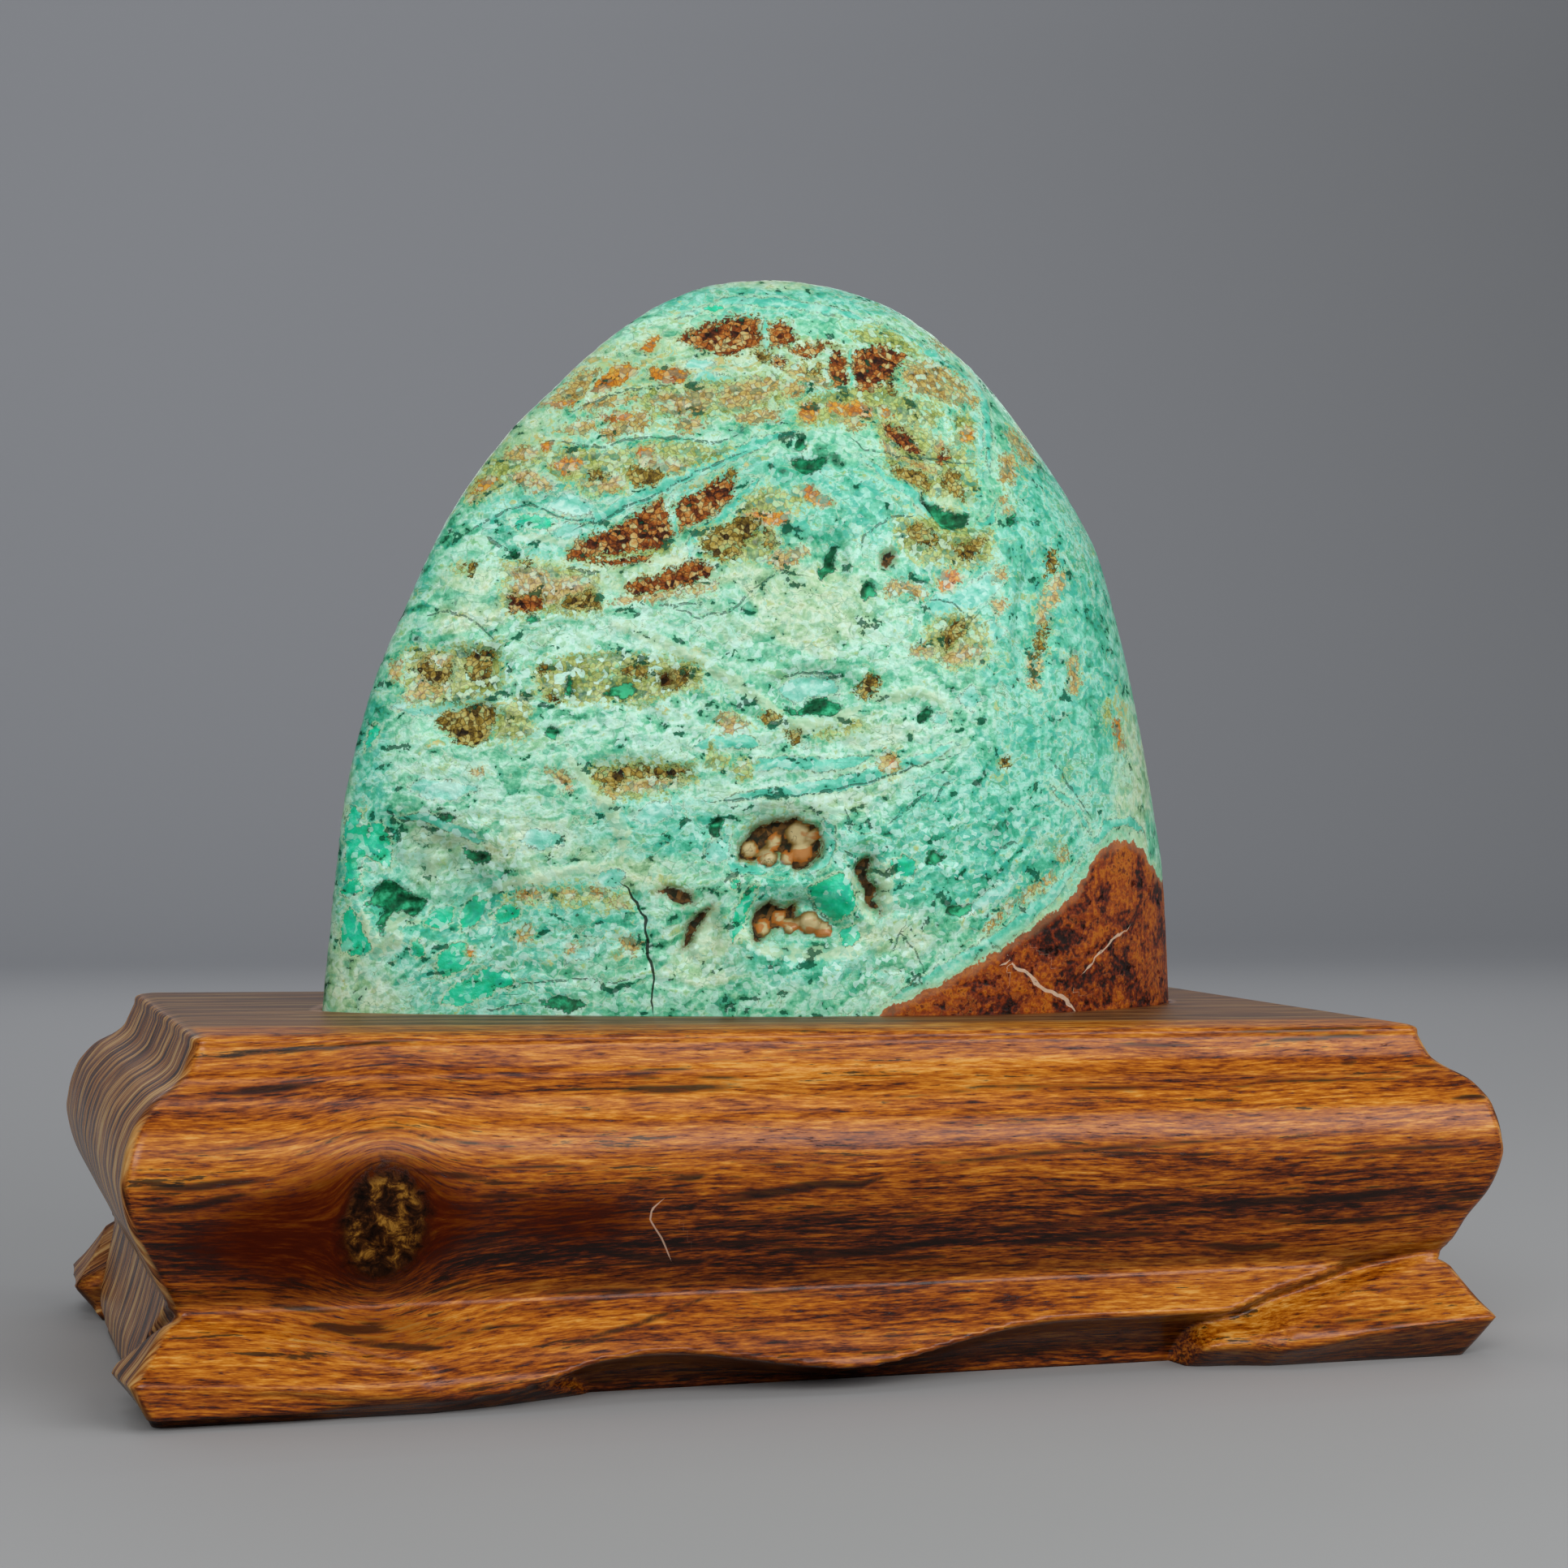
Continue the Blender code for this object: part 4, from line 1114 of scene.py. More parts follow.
    dark_lines: tuple[Stroke, ...] = (
        Stroke((662, 541, 682, 543, 700, 547, 724, 551, 746, 548, 768, 543, 800, 538, 840, 539,
                870, 545, 890, 544, 906, 538, 922, 526), 1.9),
        Stroke((690, 508, 712, 502, 730, 495, 762, 484, 800, 477, 842, 470), 1.5),
        Stroke((926, 552, 880, 572, 820, 602, 760, 628, 700, 656), 1.6),
        Stroke((554, 665, 578, 655, 600, 640, 640, 622, 664, 624, 700, 640, 742, 642), 1.6),
        Stroke((600, 660, 614, 672, 634, 682), 2.2),
        Stroke((745, 522, 757, 509), 2.6),
        Stroke((700, 701, 722, 703, 740, 704), 2.6),
        Stroke((954, 846, 962, 835, 990, 828, 1020, 828, 1038, 834), 1.8),
        Stroke((1095, 1016, 1110, 1001, 1130, 988, 1142, 978), 2.6),
        Stroke((1150, 988, 1164, 968, 1182, 958), 2.0),
        Stroke((1040, 998, 1046, 1010, 1052, 1026), 2.4),
        Stroke((1234, 1046, 1252, 1037), 2.4),
        Stroke((998, 1106, 1012, 1123, 1030, 1135), 2.6),
        Stroke((1040, 1046, 1060, 1060, 1050, 1072), 1.6),
        Stroke((520, 757, 552, 752, 580, 764, 612, 790), 1.6),
        Stroke((820, 745, 862, 760, 900, 752, 960, 700, 1000, 712), 1.4),
        Stroke((880, 1100, 900, 1080, 930, 1074), 1.8),
        Stroke((1180, 782, 1200, 762, 1176, 744, 1146, 738), 1.6),
        Stroke((1062, 690, 1066, 660, 1090, 640, 1130, 634), 1.6),
        Stroke((600, 1246, 622, 1243, 646, 1236), 1.8),
        Stroke((1046, 536, 1062, 552, 1110, 560, 1160, 562, 1206, 572), 1.5),
        Stroke((860, 986, 920, 984, 1010, 978, 1090, 958, 1190, 926), 1.5),
        Stroke((870, 742, 830, 745, 806, 742), 1.5),
        Stroke((1290, 930, 1330, 982, 1346, 1010), 1.6),
        Stroke((1096, 1176, 1110, 1150, 1128, 1170, 1140, 1200), 1.5),
        Stroke((620, 1216, 700, 1206, 760, 1212, 790, 1200), 1.4),
    )
    cracks: tuple[Stroke, ...] = (
        Stroke((760, 1084, 775, 1096, 785, 1114, 794, 1130, 797, 1150, 800, 1184, 805, 1200, 803,
                1234, 806, 1254), 2.0),
    )
    matrix_edge: SmoothLine = SmoothLine((
        (1040, 1285), (1085, 1250), (1130, 1226), (1170, 1206), (1225, 1174), (1270, 1144),
        (1310, 1114), (1332, 1088), (1348, 1058), (1364, 1042), (1385, 1034), (1402, 1042),
        (1416, 1062), (1450, 1110), (1500, 1170),
    ))
    matrix_veins: tuple[Stroke, ...] = (
        Stroke((1245, 1184, 1258, 1194, 1270, 1200, 1276, 1211, 1286, 1218, 1300, 1222, 1311, 1231,
                1328, 1248), 2.6),
        Stroke((1330, 1206, 1360, 1166, 1396, 1138), 1.2),
        Stroke((1244, 1184, 1232, 1190), 1.6),
    )
    turquoise: tuple[Zone, ...] = (
        Zone(1295, 860, 90, 230), Zone(1190, 1040, 130, 90, 0.9), Zone(452, 1060, 40, 110),
        Zone(580, 1170, 100, 76), Zone(850, 595, 170, 40, 0.8), Zone(1070, 620, 80, 50, 0.9),
        Zone(650, 645, 90, 40, 0.8), Zone(1000, 1080, 90, 60, 0.8), Zone(960, 372, 200, 18, 0.9),
        Zone(1300, 640, 50, 120, 0.8), Zone(455, 900, 26, 60, 0.8), Zone(820, 1020, 90, 40, 0.7),
        Zone(720, 1130, 90, 40, 0.8), Zone(980, 1190, 110, 30, 0.7), Zone(1200, 560, 20, 60, 0.7),
        Zone(520, 700, 26, 90, 0.7), Zone(1180, 720, 70, 50, 0.6), Zone(980, 640, 60, 30, 0.5),
    )
    light: tuple[Zone, ...] = (
        Zone(860, 785, 180, 36, 0.5), Zone(790, 890, 110, 50), Zone(980, 935, 130, 40),
        Zone(1150, 890, 70, 50, 0.9), Zone(560, 965, 90, 40, 0.8), Zone(1095, 785, 60, 36, 0.7),
        Zone(520, 1060, 70, 60, 0.7), Zone(1190, 500, 34, 26, 0.8), Zone(1010, 1215, 140, 30, 0.6),
        Zone(700, 1010, 90, 34, 0.5), Zone(740, 780, 80, 20, 0.6), Zone(930, 550, 120, 16, 0.6),
        Zone(1180, 1170, 90, 30, 0.5), Zone(470, 1200, 60, 40, 0.5), Zone(960, 455, 70, 14, 0.6),
        Zone(1010, 985, 200, 22), Zone(800, 1150, 60, 40, 0.4), Zone(1300, 1000, 60, 40, 0.5),
    )
    sage: tuple[Zone, ...] = (
        Zone(990, 755, 80, 60, 0.7), Zone(800, 705, 140, 26, 0.8), Zone(690, 1045, 90, 30, 0.8),
        Zone(560, 740, 70, 40, 0.8), Zone(1050, 985, 90, 26, 0.7), Zone(880, 1180, 60, 50, 0.9),
        Zone(1110, 1150, 60, 40, 0.6), Zone(1290, 1100, 60, 60, 0.7), Zone(1395, 960, 26, 110),
        Zone(440, 1215, 50, 60, 0.8), Zone(900, 460, 230, 60, 0.6), Zone(620, 560, 60, 60, 0.7),
        Zone(960, 350, 160, 14, 0.8), Zone(1150, 600, 60, 60, 0.6), Zone(520, 1060, 60, 50, 0.7),
        Zone(780, 1075, 60, 30, 0.7), Zone(1080, 900, 60, 40, 0.5), Zone(420, 960, 20, 180, 0.7),
    )
    lumpy: tuple[Zone, ...] = (
        Zone(1120, 1060, 140, 110), Zone(880, 860, 250, 100), Zone(550, 1060, 110, 80, 1.4),
        Zone(760, 1190, 260, 60, 0.8), Zone(640, 800, 130, 60, 0.8), Zone(1110, 700, 80, 90, 0.8),
        Zone(980, 560, 60, 30, 0.7), Zone(1060, 440, 130, 50, 0.7), Zone(800, 670, 130, 60, 0.6),
        Zone(900, 1060, 80, 60, 0.7), Zone(1060, 1190, 90, 40, 1.0), Zone(620, 660, 50, 30, 0.8),
    )
    earth: tuple[Zone, ...] = (
        Zone(850, 470, 190, 60), Zone(1110, 470, 110, 50), Zone(660, 570, 80, 50),
        Zone(820, 575, 110, 30), Zone(1150, 590, 60, 50, 0.9), Zone(930, 640, 70, 40, 0.9),
        Zone(1170, 690, 60, 50, 0.8), Zone(1170, 795, 60, 30, 0.8), Zone(560, 860, 70, 50, 0.8),
        Zone(740, 840, 110, 34, 0.8), Zone(790, 960, 90, 24, 0.7), Zone(700, 720, 90, 34, 0.8),
        Zone(920, 890, 60, 30, 0.7), Zone(1090, 940, 30, 30, 0.7), Zone(700, 1105, 90, 22, 0.7),
        Zone(970, 1040, 60, 40, 0.5), Zone(1290, 740, 24, 70, 0.8), Zone(1375, 880, 16, 60, 0.9),
        Zone(1255, 560, 24, 50, 0.9), Zone(1260, 1105, 60, 34, 0.7), Zone(780, 1165, 40, 30, 0.5),
    )
    hollows: tuple[Hollow, ...] = (
        Hollow(-0.0746, 0.0293, 0.0150, 0.0100, -30, 0.0055),
        Hollow(-0.0831, 0.0244, 0.0060, 0.0050, -15, 0.0050),
        Hollow(0.0001, 0.0376, 0.0100, 0.0068, 0, 0.0055),
        Hollow(0.0045, 0.0200, 0.0115, 0.0066, -10, 0.0055),
        Hollow(0.0399, 0.1129, 0.0075, 0.0044, -12, 0.0030),
        Hollow(-0.0181, 0.0179, 0.0038, 0.0078, -18, 0.0030),
        Hollow(0.0193, 0.0295, 0.0034, 0.0070, 8, 0.0030),
        Hollow(0.0115, 0.1004, 0.0034, 0.0055, 5, 0.0024),
        Hollow(0.0072, 0.0706, 0.0095, 0.0048, 4, 0.0026),
        Hollow(0.0590, 0.0891, 0.0046, 0.0150, -10, 0.0020),
        Hollow(-0.0266, 0.1087, 0.0200, 0.0060, 22, 0.0014),
        Hollow(-0.0117, 0.1490, 0.0095, 0.0046, 8, 0.0012),
        Hollow(0.0150, 0.1440, 0.0120, 0.0050, -22, 0.0014),
        Hollow(-0.0312, 0.0514, 0.0105, 0.0040, -4, 0.0016),
        Hollow(-0.0712, 0.0749, 0.0100, 0.0055, 0, 0.0014),
        Hollow(-0.0690, 0.0637, 0.0070, 0.0045, 8, 0.0016),
        Hollow(0.0352, 0.1243, 0.0105, 0.0075, -35, 0.0014),
        Hollow(0.0380, 0.0980, 0.0100, 0.0070, -20, 0.0014),
    )
    back_hollows: int = 26
    back_seed: int = 11
    back_mix: tuple[tuple[Mineral, int], ...] = (
        (RUST, 10), (LOAM, 16), (OCHRE, 12), (TAN, 22), (OLIVE, 12), (EMERALD, 14), (SKY, 12),
        (PIT, 18),
    )

    def scattered_hollows(self, form: StoneForm) -> list[Hollow]:
        """Scatters hollows over the back.

        Args:
            form: the dome.

        Returns:
            The hollows.
        """
        rng = np.random.default_rng(self.back_seed)
        found = []
        for _ in range(self.back_hollows):
            up = rng.uniform(0.014, 0.130)
            left, right = form.extremes(up)[:2]
            right_of = rng.uniform(0.75 * left, 0.75 * right)
            wide = rng.uniform(0.005, 0.012)
            high = wide * rng.uniform(0.4, 0.8)
            tilt = rng.uniform(-35, 25)
            found.append(Hollow(right_of, up, wide, high, tilt, wide * rng.uniform(0.2, 0.4)))
        return found

    def back_patches(self) -> list[Patch]:
        """Scatters patches over the back: angular, in loose groups, of the front's minerals.

        Returns:
            The patches, by places as if the dome were turned round.
        """
        rng = np.random.default_rng(self.back_seed + 1)
        found = []
        homes = rng.uniform((480, 400), (1360, 1180), (14, 2))
        for mineral, count in self.back_mix:
            for _ in range(count):
                centre = homes[rng.integers(len(homes))] + rng.normal(0, (80, 34))
                wide = rng.uniform(9, 46) * (0.4 if mineral is PIT else 1.0)
                high, tilt = wide * rng.uniform(0.3, 0.7), rng.uniform(-0.5, 0.4)
                turns = np.sort(rng.uniform(0, 2 * math.pi, rng.integers(5, 9)))
                ring = np.column_stack([wide * np.cos(turns), high * np.sin(turns)])
                c, s = math.cos(tilt), math.sin(tilt)
                corners = centre + ring @ np.array([[c, s], [-s, c]])
                found.append(Patch(tuple(corners.ravel()), mineral))
        return found


@dataclass(frozen=True)
class Flow:
    """Which way the stone's layers run, by angles set at places of the photograph."""

    reach: float = 95.0
    set_at: tuple[tuple[float, float, float], ...] = (
        (560, 640, 35), (640, 540, 26), (720, 470, 22), (800, 420, 20), (900, 372, 8),
        (960, 362, 0), (1050, 380, -16), (1130, 430, -38), (1200, 500, -50), (1280, 620, -62),
        (1350, 760, -72), (1405, 950, -80), (1300, 800, -76), (1240, 700, -60), (500, 760, 12),
        (600, 850, 16), (650, 700, 8), (800, 640, 24), (900, 600, 22), (900, 800, -22),
        (800, 770, -18), (1000, 880, -14), (1100, 950, 10), (950, 970, 6), (700, 960, 0),
        (500, 950, 2), (500, 1150, 16), (600, 1230, 8), (700, 1100, 5), (900, 1100, 10),
        (1000, 1200, 20), (1100, 1150, 32), (1200, 1100, 38), (1300, 1020, 42), (1310, 900, -82),
        (1080, 700, -40), (1060, 560, -20), (430, 1200, 80), (430, 1000, 78), (1400, 1150, 50),
    )

    def angle(self, places: Points) -> Points:
        """Which way the layers run.

        Args:
            places: right and down in pixels, one row each.

        Returns:
            The angle at each place in radians, above zero where they rise to the right.
        """
        east = np.full(len(places), 1e-9)
        north = np.zeros(len(places))
        for right, down, degrees in self.set_at:
            away = (places[:, 0] - right) ** 2 + (places[:, 1] - down) ** 2
            weight = 1.0 / (1.0 + away / self.reach**2) ** 3
            twice = math.radians(degrees) * 2
            east += weight * math.cos(twice)
            north += weight * math.sin(twice)
        return np.arctan2(north, east) / 2

    def strands(self, places: Points, fine: float, long: float, shift: float) -> Points:
        """Noise drawn out along the layers.

        Args:
            places: right and down in pixels.
            fine: the width of a strand, in pixels.
            long: its length, in pixels.
            shift: moves the pattern, so that two calls differ.

        Returns:
            One value for each place, about 0 to 1.
        """
        angle = self.angle(places)
        along = np.column_stack([np.cos(angle), -np.sin(angle)])
        steps = np.linspace(-0.5, 0.5, 7)
        total = np.zeros(len(places))
        for step in steps:
            spots = places + along * (step * long)
            total += waves(np.column_stack([spots, np.full(len(spots), shift)]), fine)
        return np.clip(0.5 + total / len(steps) * 1.5, 0.0, 1.0)


@dataclass
class SmithsoniteDome:
    """The polished stone: a dome with pits, vugs and rusty matrix."""

    form: StoneForm
    marks: StoneMarks
    flow: Flow
    view: PhotoView
    name: str = "smithsonite_dome"
    node: str = "smithsonite_stone"
    vug_lump: float = 0.0046
    groove: float = 0.00042
    foot_at: tuple[float, float] = (920.0, 1252.0)
    matrix_from: float = 1040.0
    matrix_slope: float = 0.78
    matrix_rise: float = 0.036
    matrix_rise_over: tuple[float, float] = (0.018, 0.090)
    matrix_start: float = -0.004
    # Marks that are sunk into the polish or stand out of it: how deep or high they are in
    # millimetres, how much more where their grain is coarse, and from where to where inside
    # their edge it comes about.
    sunk: tuple[tuple[str, float, float, float, float], ...] = (
        ("pit", 1.6, 0.0, -0.3, 1.0), ("cave", 1.3, 0.0, -0.5, 0.3),
        ("crumbling", 0.55, 0.35, -0.1, 0.5), ("tan", 0.16, 0.16, 0.0, 0.5),
        ("olive", 0.14, 0.14, 0.0, 0.5),
    )
    cut: tuple[tuple[str, float], ...] = (("crack", 0.6), ("hairline", 0.25))
    raised: tuple[tuple[str, float, float, float], ...] = (
        ("ribbon", 0.22, -0.6, 0.6), ("bar", 0.30, -0.6, 0.4),
    )
    # The layers' strands: how wide and how long they are, in pixels.
    strands: tuple[tuple[str, float, float], ...] = (
        ("rope", 15.0, 30.0), ("cord", 9.0, 40.0), ("band", 26.0, 150.0),
    )

    def behind_places(self, points: Points) -> Points:
        """A place in pixels for each point of the far side, as if the dome were turned round."""
        right, down = self.foot_at
        right_of, up = points[:, 0] / self.marks.pixel, points[:, 2] / self.marks.pixel
        return np.column_stack([right - right_of, down - up])

    def front_share(self, facing: Points) -> Points:
        """How much each point takes from the photograph, the rest being left to chance."""
        return smooth_step(-0.30, 0.05, facing)

    def measure(self, marks: Sequence[Patch | Stroke], places: Points) -> Points:
        """How far inside the marks each place is, in millimetres."""
        return deepest(marks, places) * self.marks.pixel / MM

    def read_minerals(self, seen: Points, behind: Points, facing: Points) -> dict[str, Points]:
        """How far inside each mineral's patches the points are, in millimetres.

        Args:
            seen: the points' places in the photograph, right and down in pixels.
            behind: their places on the far side.
            facing: how squarely each faces the camera.

        Returns:
            One value for each point under the name of each kind of mark.
        """
        marks = self.marks
        past_rim = FAR_MM * smooth_step(0.02, 0.5, -facing)
        before_rim = FAR_MM * smooth_step(-0.5, -0.2, facing)
        scattered = marks.back_patches()
        found: dict[str, Points] = {}
        for mineral in Mineral:
            ahead = self.measure([p for p in marks.patches if p.mineral is mineral], seen)
            far = self.measure([p for p in scattered if p.mineral is mineral], behind)
            found[mineral.value] = np.maximum(ahead - past_rim, far - before_rim)
        for name, broad in (("ribbon", marks.ribbons), ("bar", marks.bars)):
            found[name] = self.measure(broad, seen) - past_rim
        thin = {"hairline": marks.dark_lines, "crack": marks.cracks,
                "matrix_vein": marks.matrix_veins}
        for name, lines in thin.items():
            across = thin_lines(lines, seen) * marks.pixel / MM
            found[name] = across[:, 0]
            found[name + "_half"] = np.where(facing > -0.02, across[:, 1], 0.0)
        return found

    def read_matrix(self, points: Points, seen: Points, facing: Points) -> Points:
        """How far inside the rusty matrix the points are, in millimetres.

        Args:
            points: right, back and up in the stone's frame, one row each.
            seen: their places in the photograph, in pixels.
            facing: how squarely each faces the camera.

        Returns:
            One value for each point, below zero outside the matrix.
        """
        edge = self.marks.matrix_edge(seen[:, 0])
        ahead = (seen[:, 1] - edge) * self.matrix_slope * self.marks.pixel / MM
        ahead = np.where(seen[:, 0] > self.matrix_from, ahead, -FAR_MM)
        top = self.matrix_rise * smooth_step(*self.matrix_rise_over, points[:, 0])
        top += self.matrix_start
        top += 0.0025 * waves(points, 0.022, 2, 7.0)
        far = (top - points[:, 2]) / MM
        share = self.front_share(facing)
        return np.clip(share * ahead + (1 - share) * far, -FAR_MM, 8.0)

    def read_zones(self, zones: Sequence[Zone], seen: Points, points: Points, facing: Points,
                   shift: float) -> Points:
        """How strongly the points belong to a set of zones; the far side's come by chance.

        Args:
            zones: the zones.
            seen: the points' places in the photograph, in pixels.
            points: right, back and up in the stone's frame, one row each.
            facing: how squarely each faces the camera.
            shift: moves the far side's pattern, so that two sets differ.

        Returns:
            One value for each point, from 0 up to 1.3.
        """
        ahead = sum(zone.weight(seen) for zone in zones)
        far = smooth_step(0.0, 0.7, waves(points, 0.030, 2, shift)) * 0.9
        share = self.front_share(facing)
        return np.clip(share * ahead + (1 - share) * far, 0.0, 1.3)

    def press(self, points: Points, seen: Points, facing: Points,
              found: dict[str, Points]) -> Points:
        """Works out the relief that pits, patches, grooves, lumps and crystals give.

        Args:
            points: right, back and up in the stone's frame, one row each.
            seen: their places in the photograph, in pixels.
            facing: how squarely each faces the camera.
            found: what is known of each point by name; the round crystals are added.

        Returns:
            How deep each point is pressed in, in metres.
        """
        form, marks = self.form, self.marks
        depth = np.zeros(len(points))
        for hollow in marks.hollows:
            depth = np.maximum(depth, hollow.depth(points, form))
        for hollow in marks.scattered_hollows(form):
            depth = np.maximum(depth, hollow.depth(points, form, behind=True))
        grain = waves(points, 0.0017, 2, 5.5)
        swell = waves(points, 0.0065, 2, 1.5)
        lumpy = found["lumpy"]
        inside = found | {"crumbling": np.maximum(found["rust"], found["loam"])}
        for name, deep, grainy, start, end in self.sunk:
            depth += MM * (deep + grainy * grain) * smooth_step(start, end, inside[name])
        for name, deep in self.cut:
            near = smooth_step(0.8, 0.1, np.abs(found[name]))
            depth += MM * deep * near * (found[name + "_half"] > 0.1)
        for name, tall, start, end in self.raised:
            depth -= MM * tall * smooth_step(start, end, found[name])
        gap = 1 - np.abs(found["rope"] - 0.5) / 0.16
        depth += self.groove * (0.25 + lumpy) * np.clip(gap, 0.0, 1.0)
        depth += MM * (0.10 + 0.45 * lumpy) * smooth_step(0.1, 0.7, swell)
        depth += MM * 0.12 * (0.3 + lumpy) * grain
        lumps = np.array([noise.voronoi(Vector(p / self.vug_lump))[0][0] for p in points])
        in_vug = smooth_step(0.0010, 0.0034, depth) * (1 - smooth_step(-0.3, 0.3, found["cave"]))
        depth -= in_vug * 0.0016 * (1 - np.clip(lumps, 0.0, 1.0) ** 2)
        found["ball"] = np.zeros(len(points))
        for right, down, radius in marks.balls:
            away = np.hypot(seen[:, 0] - right, seen[:, 1] - down) / radius
            cap = np.sqrt(np.clip(1 - away**2, 0.0, 1.0)) * (facing > 0)
            found["ball"] = np.maximum(found["ball"], cap)
            depth -= cap * radius * marks.pixel * 0.75
        return depth

    def build(self) -> bpy.types.Object:
        """Builds the dome's mesh, marks its minerals, and presses its relief in.

        Returns:
            The piece.
        """
        form, marks = self.form, self.marks
        rings = [form.section(level) for level in form.levels()]
        pole = np.array([form.crest_right, form.apex_back, form.height])
        mesh = loft(self.name, rings, pole=pole)
        points, normals = points_and_normals(mesh)
        world = form.to_world(points)
        c, s = math.cos(form.turn), math.sin(form.turn)
        facing = self.view.facing(world, normals @ np.array([[c, -s, 0], [s, c, 0], [0, 0, 1]]))
        wobble = np.column_stack([waves(points, 0.0030, 2, 3.1), waves(points, 0.0030, 2, 9.7)])
        seen = self.view.pixels(world)
        behind = self.behind_places(points)
        found = self.read_minerals(seen + wobble * 4.0, behind + wobble * 6.0, facing)
        found["matrix"] = self.read_matrix(points, seen + wobble * 5.0, facing)
        zones = {"turquoise": marks.turquoise, "light": marks.light, "sage": marks.sage,
                 "lumpy": marks.lumpy, "earth": marks.earth}
        for number, (name, set_zones) in enumerate(zones.items()):
            found[name] = self.read_zones(set_zones, seen, points, facing, 11.0 + number)
        share = self.front_share(facing)
        bend = np.column_stack([waves(points, 0.0070, 2, 2.2), waves(points, 0.0070, 2, 6.6)])
        for name, fine, long in self.strands:
            ahead = self.flow.strands(seen + bend * 16.0, fine, long, fine / 3)
            far = self.flow.strands(behind + bend * 16.0, fine, long, fine / 3)
            found[name] = share * ahead + (1 - share) * far
        depth = self.press(points, seen + wobble * 2.0, facing, found)
        fade = np.clip((points[:, 2] - 0.002) / 0.004, 0.0, 1.0)
        move_points(mesh, form.to_world(points - normals * (depth * fade)[:, None]))
        found["deep"] = np.clip(depth / MM, 0.0, FAR_MM)
        for name, values in found.items():
            keep(mesh, name, values)
        mesh.materials.append(PolishedSmithsonite().build())
        return show(self.name, mesh, self.node)


class StonePatterns:
    """What the stone's finish is drawn from: the mesh's marks by name, and patterns by size."""

    # Shards are 4 mm wide and 2.5 mm high, and crumbs 1.2 mm wide.
    shards_per_metre: tuple[float, float, float] = (260.0, 260.0, 400.0)
    crumbs_per_metre: float = 820.0

    def __init__(self, r: Recipe) -> None:
        """Adds the nodes that read the marks and draw the patterns.

        Args:
            r: the material's recipe.
        """
        self.place = r.add("TexCoord", out="Object")
        self.told = {name: r.add("Attribute", out="Fac", attribute_name=name) for name in (
            "rope", "cord", "band", "turquoise", "light", "sage", "lumpy", "earth", "deep",
            "ball", "matrix", "ribbon", "bar", "hairline", "crack", "matrix_vein",
            "hairline_half", "crack_half", "matrix_vein_half",
            *(mineral.value for mineral in Mineral))}
        # Spots of 30 mm, 3 mm, 1.2 mm and 0.6 mm: the stone's zones, cells, grains and pores.
        # Its real grains and pores are finer still: these are as fine as the render can show.
        self.zone = r.mottle(self.place, 0.030, 2.0)
        self.cell = r.mottle(self.place, 0.0034, 2.0, 0.5, (1.6, 1.6, 1.0), 0.6)
        self.grain = r.mottle(self.place, 0.0012, 3.0, 0.6)
        self.pore = r.mottle(self.place, 0.0006, 1.0, 0.5)
        # Each shard and each crumb has a tone of its own.
        sway = {"Vector": self.place, "Scale": self.shards_per_metre[0], "Detail": 2.0}
        shift = r.add("TexNoise", out="Color", named=sway)
        bent = r.add("VectorMath", shift, (0.0030, 0.0030, 0.0022), self.place,
                     operation="MULTIPLY_ADD")
        spot = r.add("Mapping", named={"Vector": bent, "Scale": self.shards_per_metre})
        shard = r.add("TexVoronoi", out="Color", named={"Vector": spot, "Scale": 1.0})
        self.shard = r.add("SeparateColor", shard)
        self.shard_edge = r.add("TexVoronoi", out="Distance", feature="DISTANCE_TO_EDGE",
                                named={"Vector": spot, "Scale": 1.0})
        crumbs = {"Vector": bent, "Scale": self.crumbs_per_metre}
        self.crumb = r.add("SeparateColor", r.add("TexVoronoi", out="Color", named=crumbs))
        crevice = r.add("TexVoronoi", out="Distance", feature="DISTANCE_TO_EDGE", named=crumbs)
        self.crevice = r.step(crevice, 0.13, 0.03)
        self.jitter = r.about_half((self.grain, 1.6), (self.pore, 0.6), (self.cell, 0.5))
        self.ragged = r.add("Math", self.jitter, 2.4, -1.2, operation="MULTIPLY_ADD")
        # Tones for the patches: strong in rust, softer in sand, calm in the green minerals.
        self.rusty = r.about_half((self.crumb, 0.62), (self.grain, 0.9), (self.cell, 0.9))
        self.sandy = r.about_half((self.crumb, 0.50), (self.grain, 1.1), (self.cell, 0.9))
        self.calm = r.about_half((self.cell, 0.8), (self.grain, 0.5), (self.told["cord"], 0.5))
        self.recipe = r

    def depth_in(self, name: str, sway: float) -> Socket:
        """How far inside a mark a place is, in millimetres, with a ragged edge."""
        return self.recipe.add("Math", self.ragged, sway, self.told[name],
                               operation="MULTIPLY_ADD")


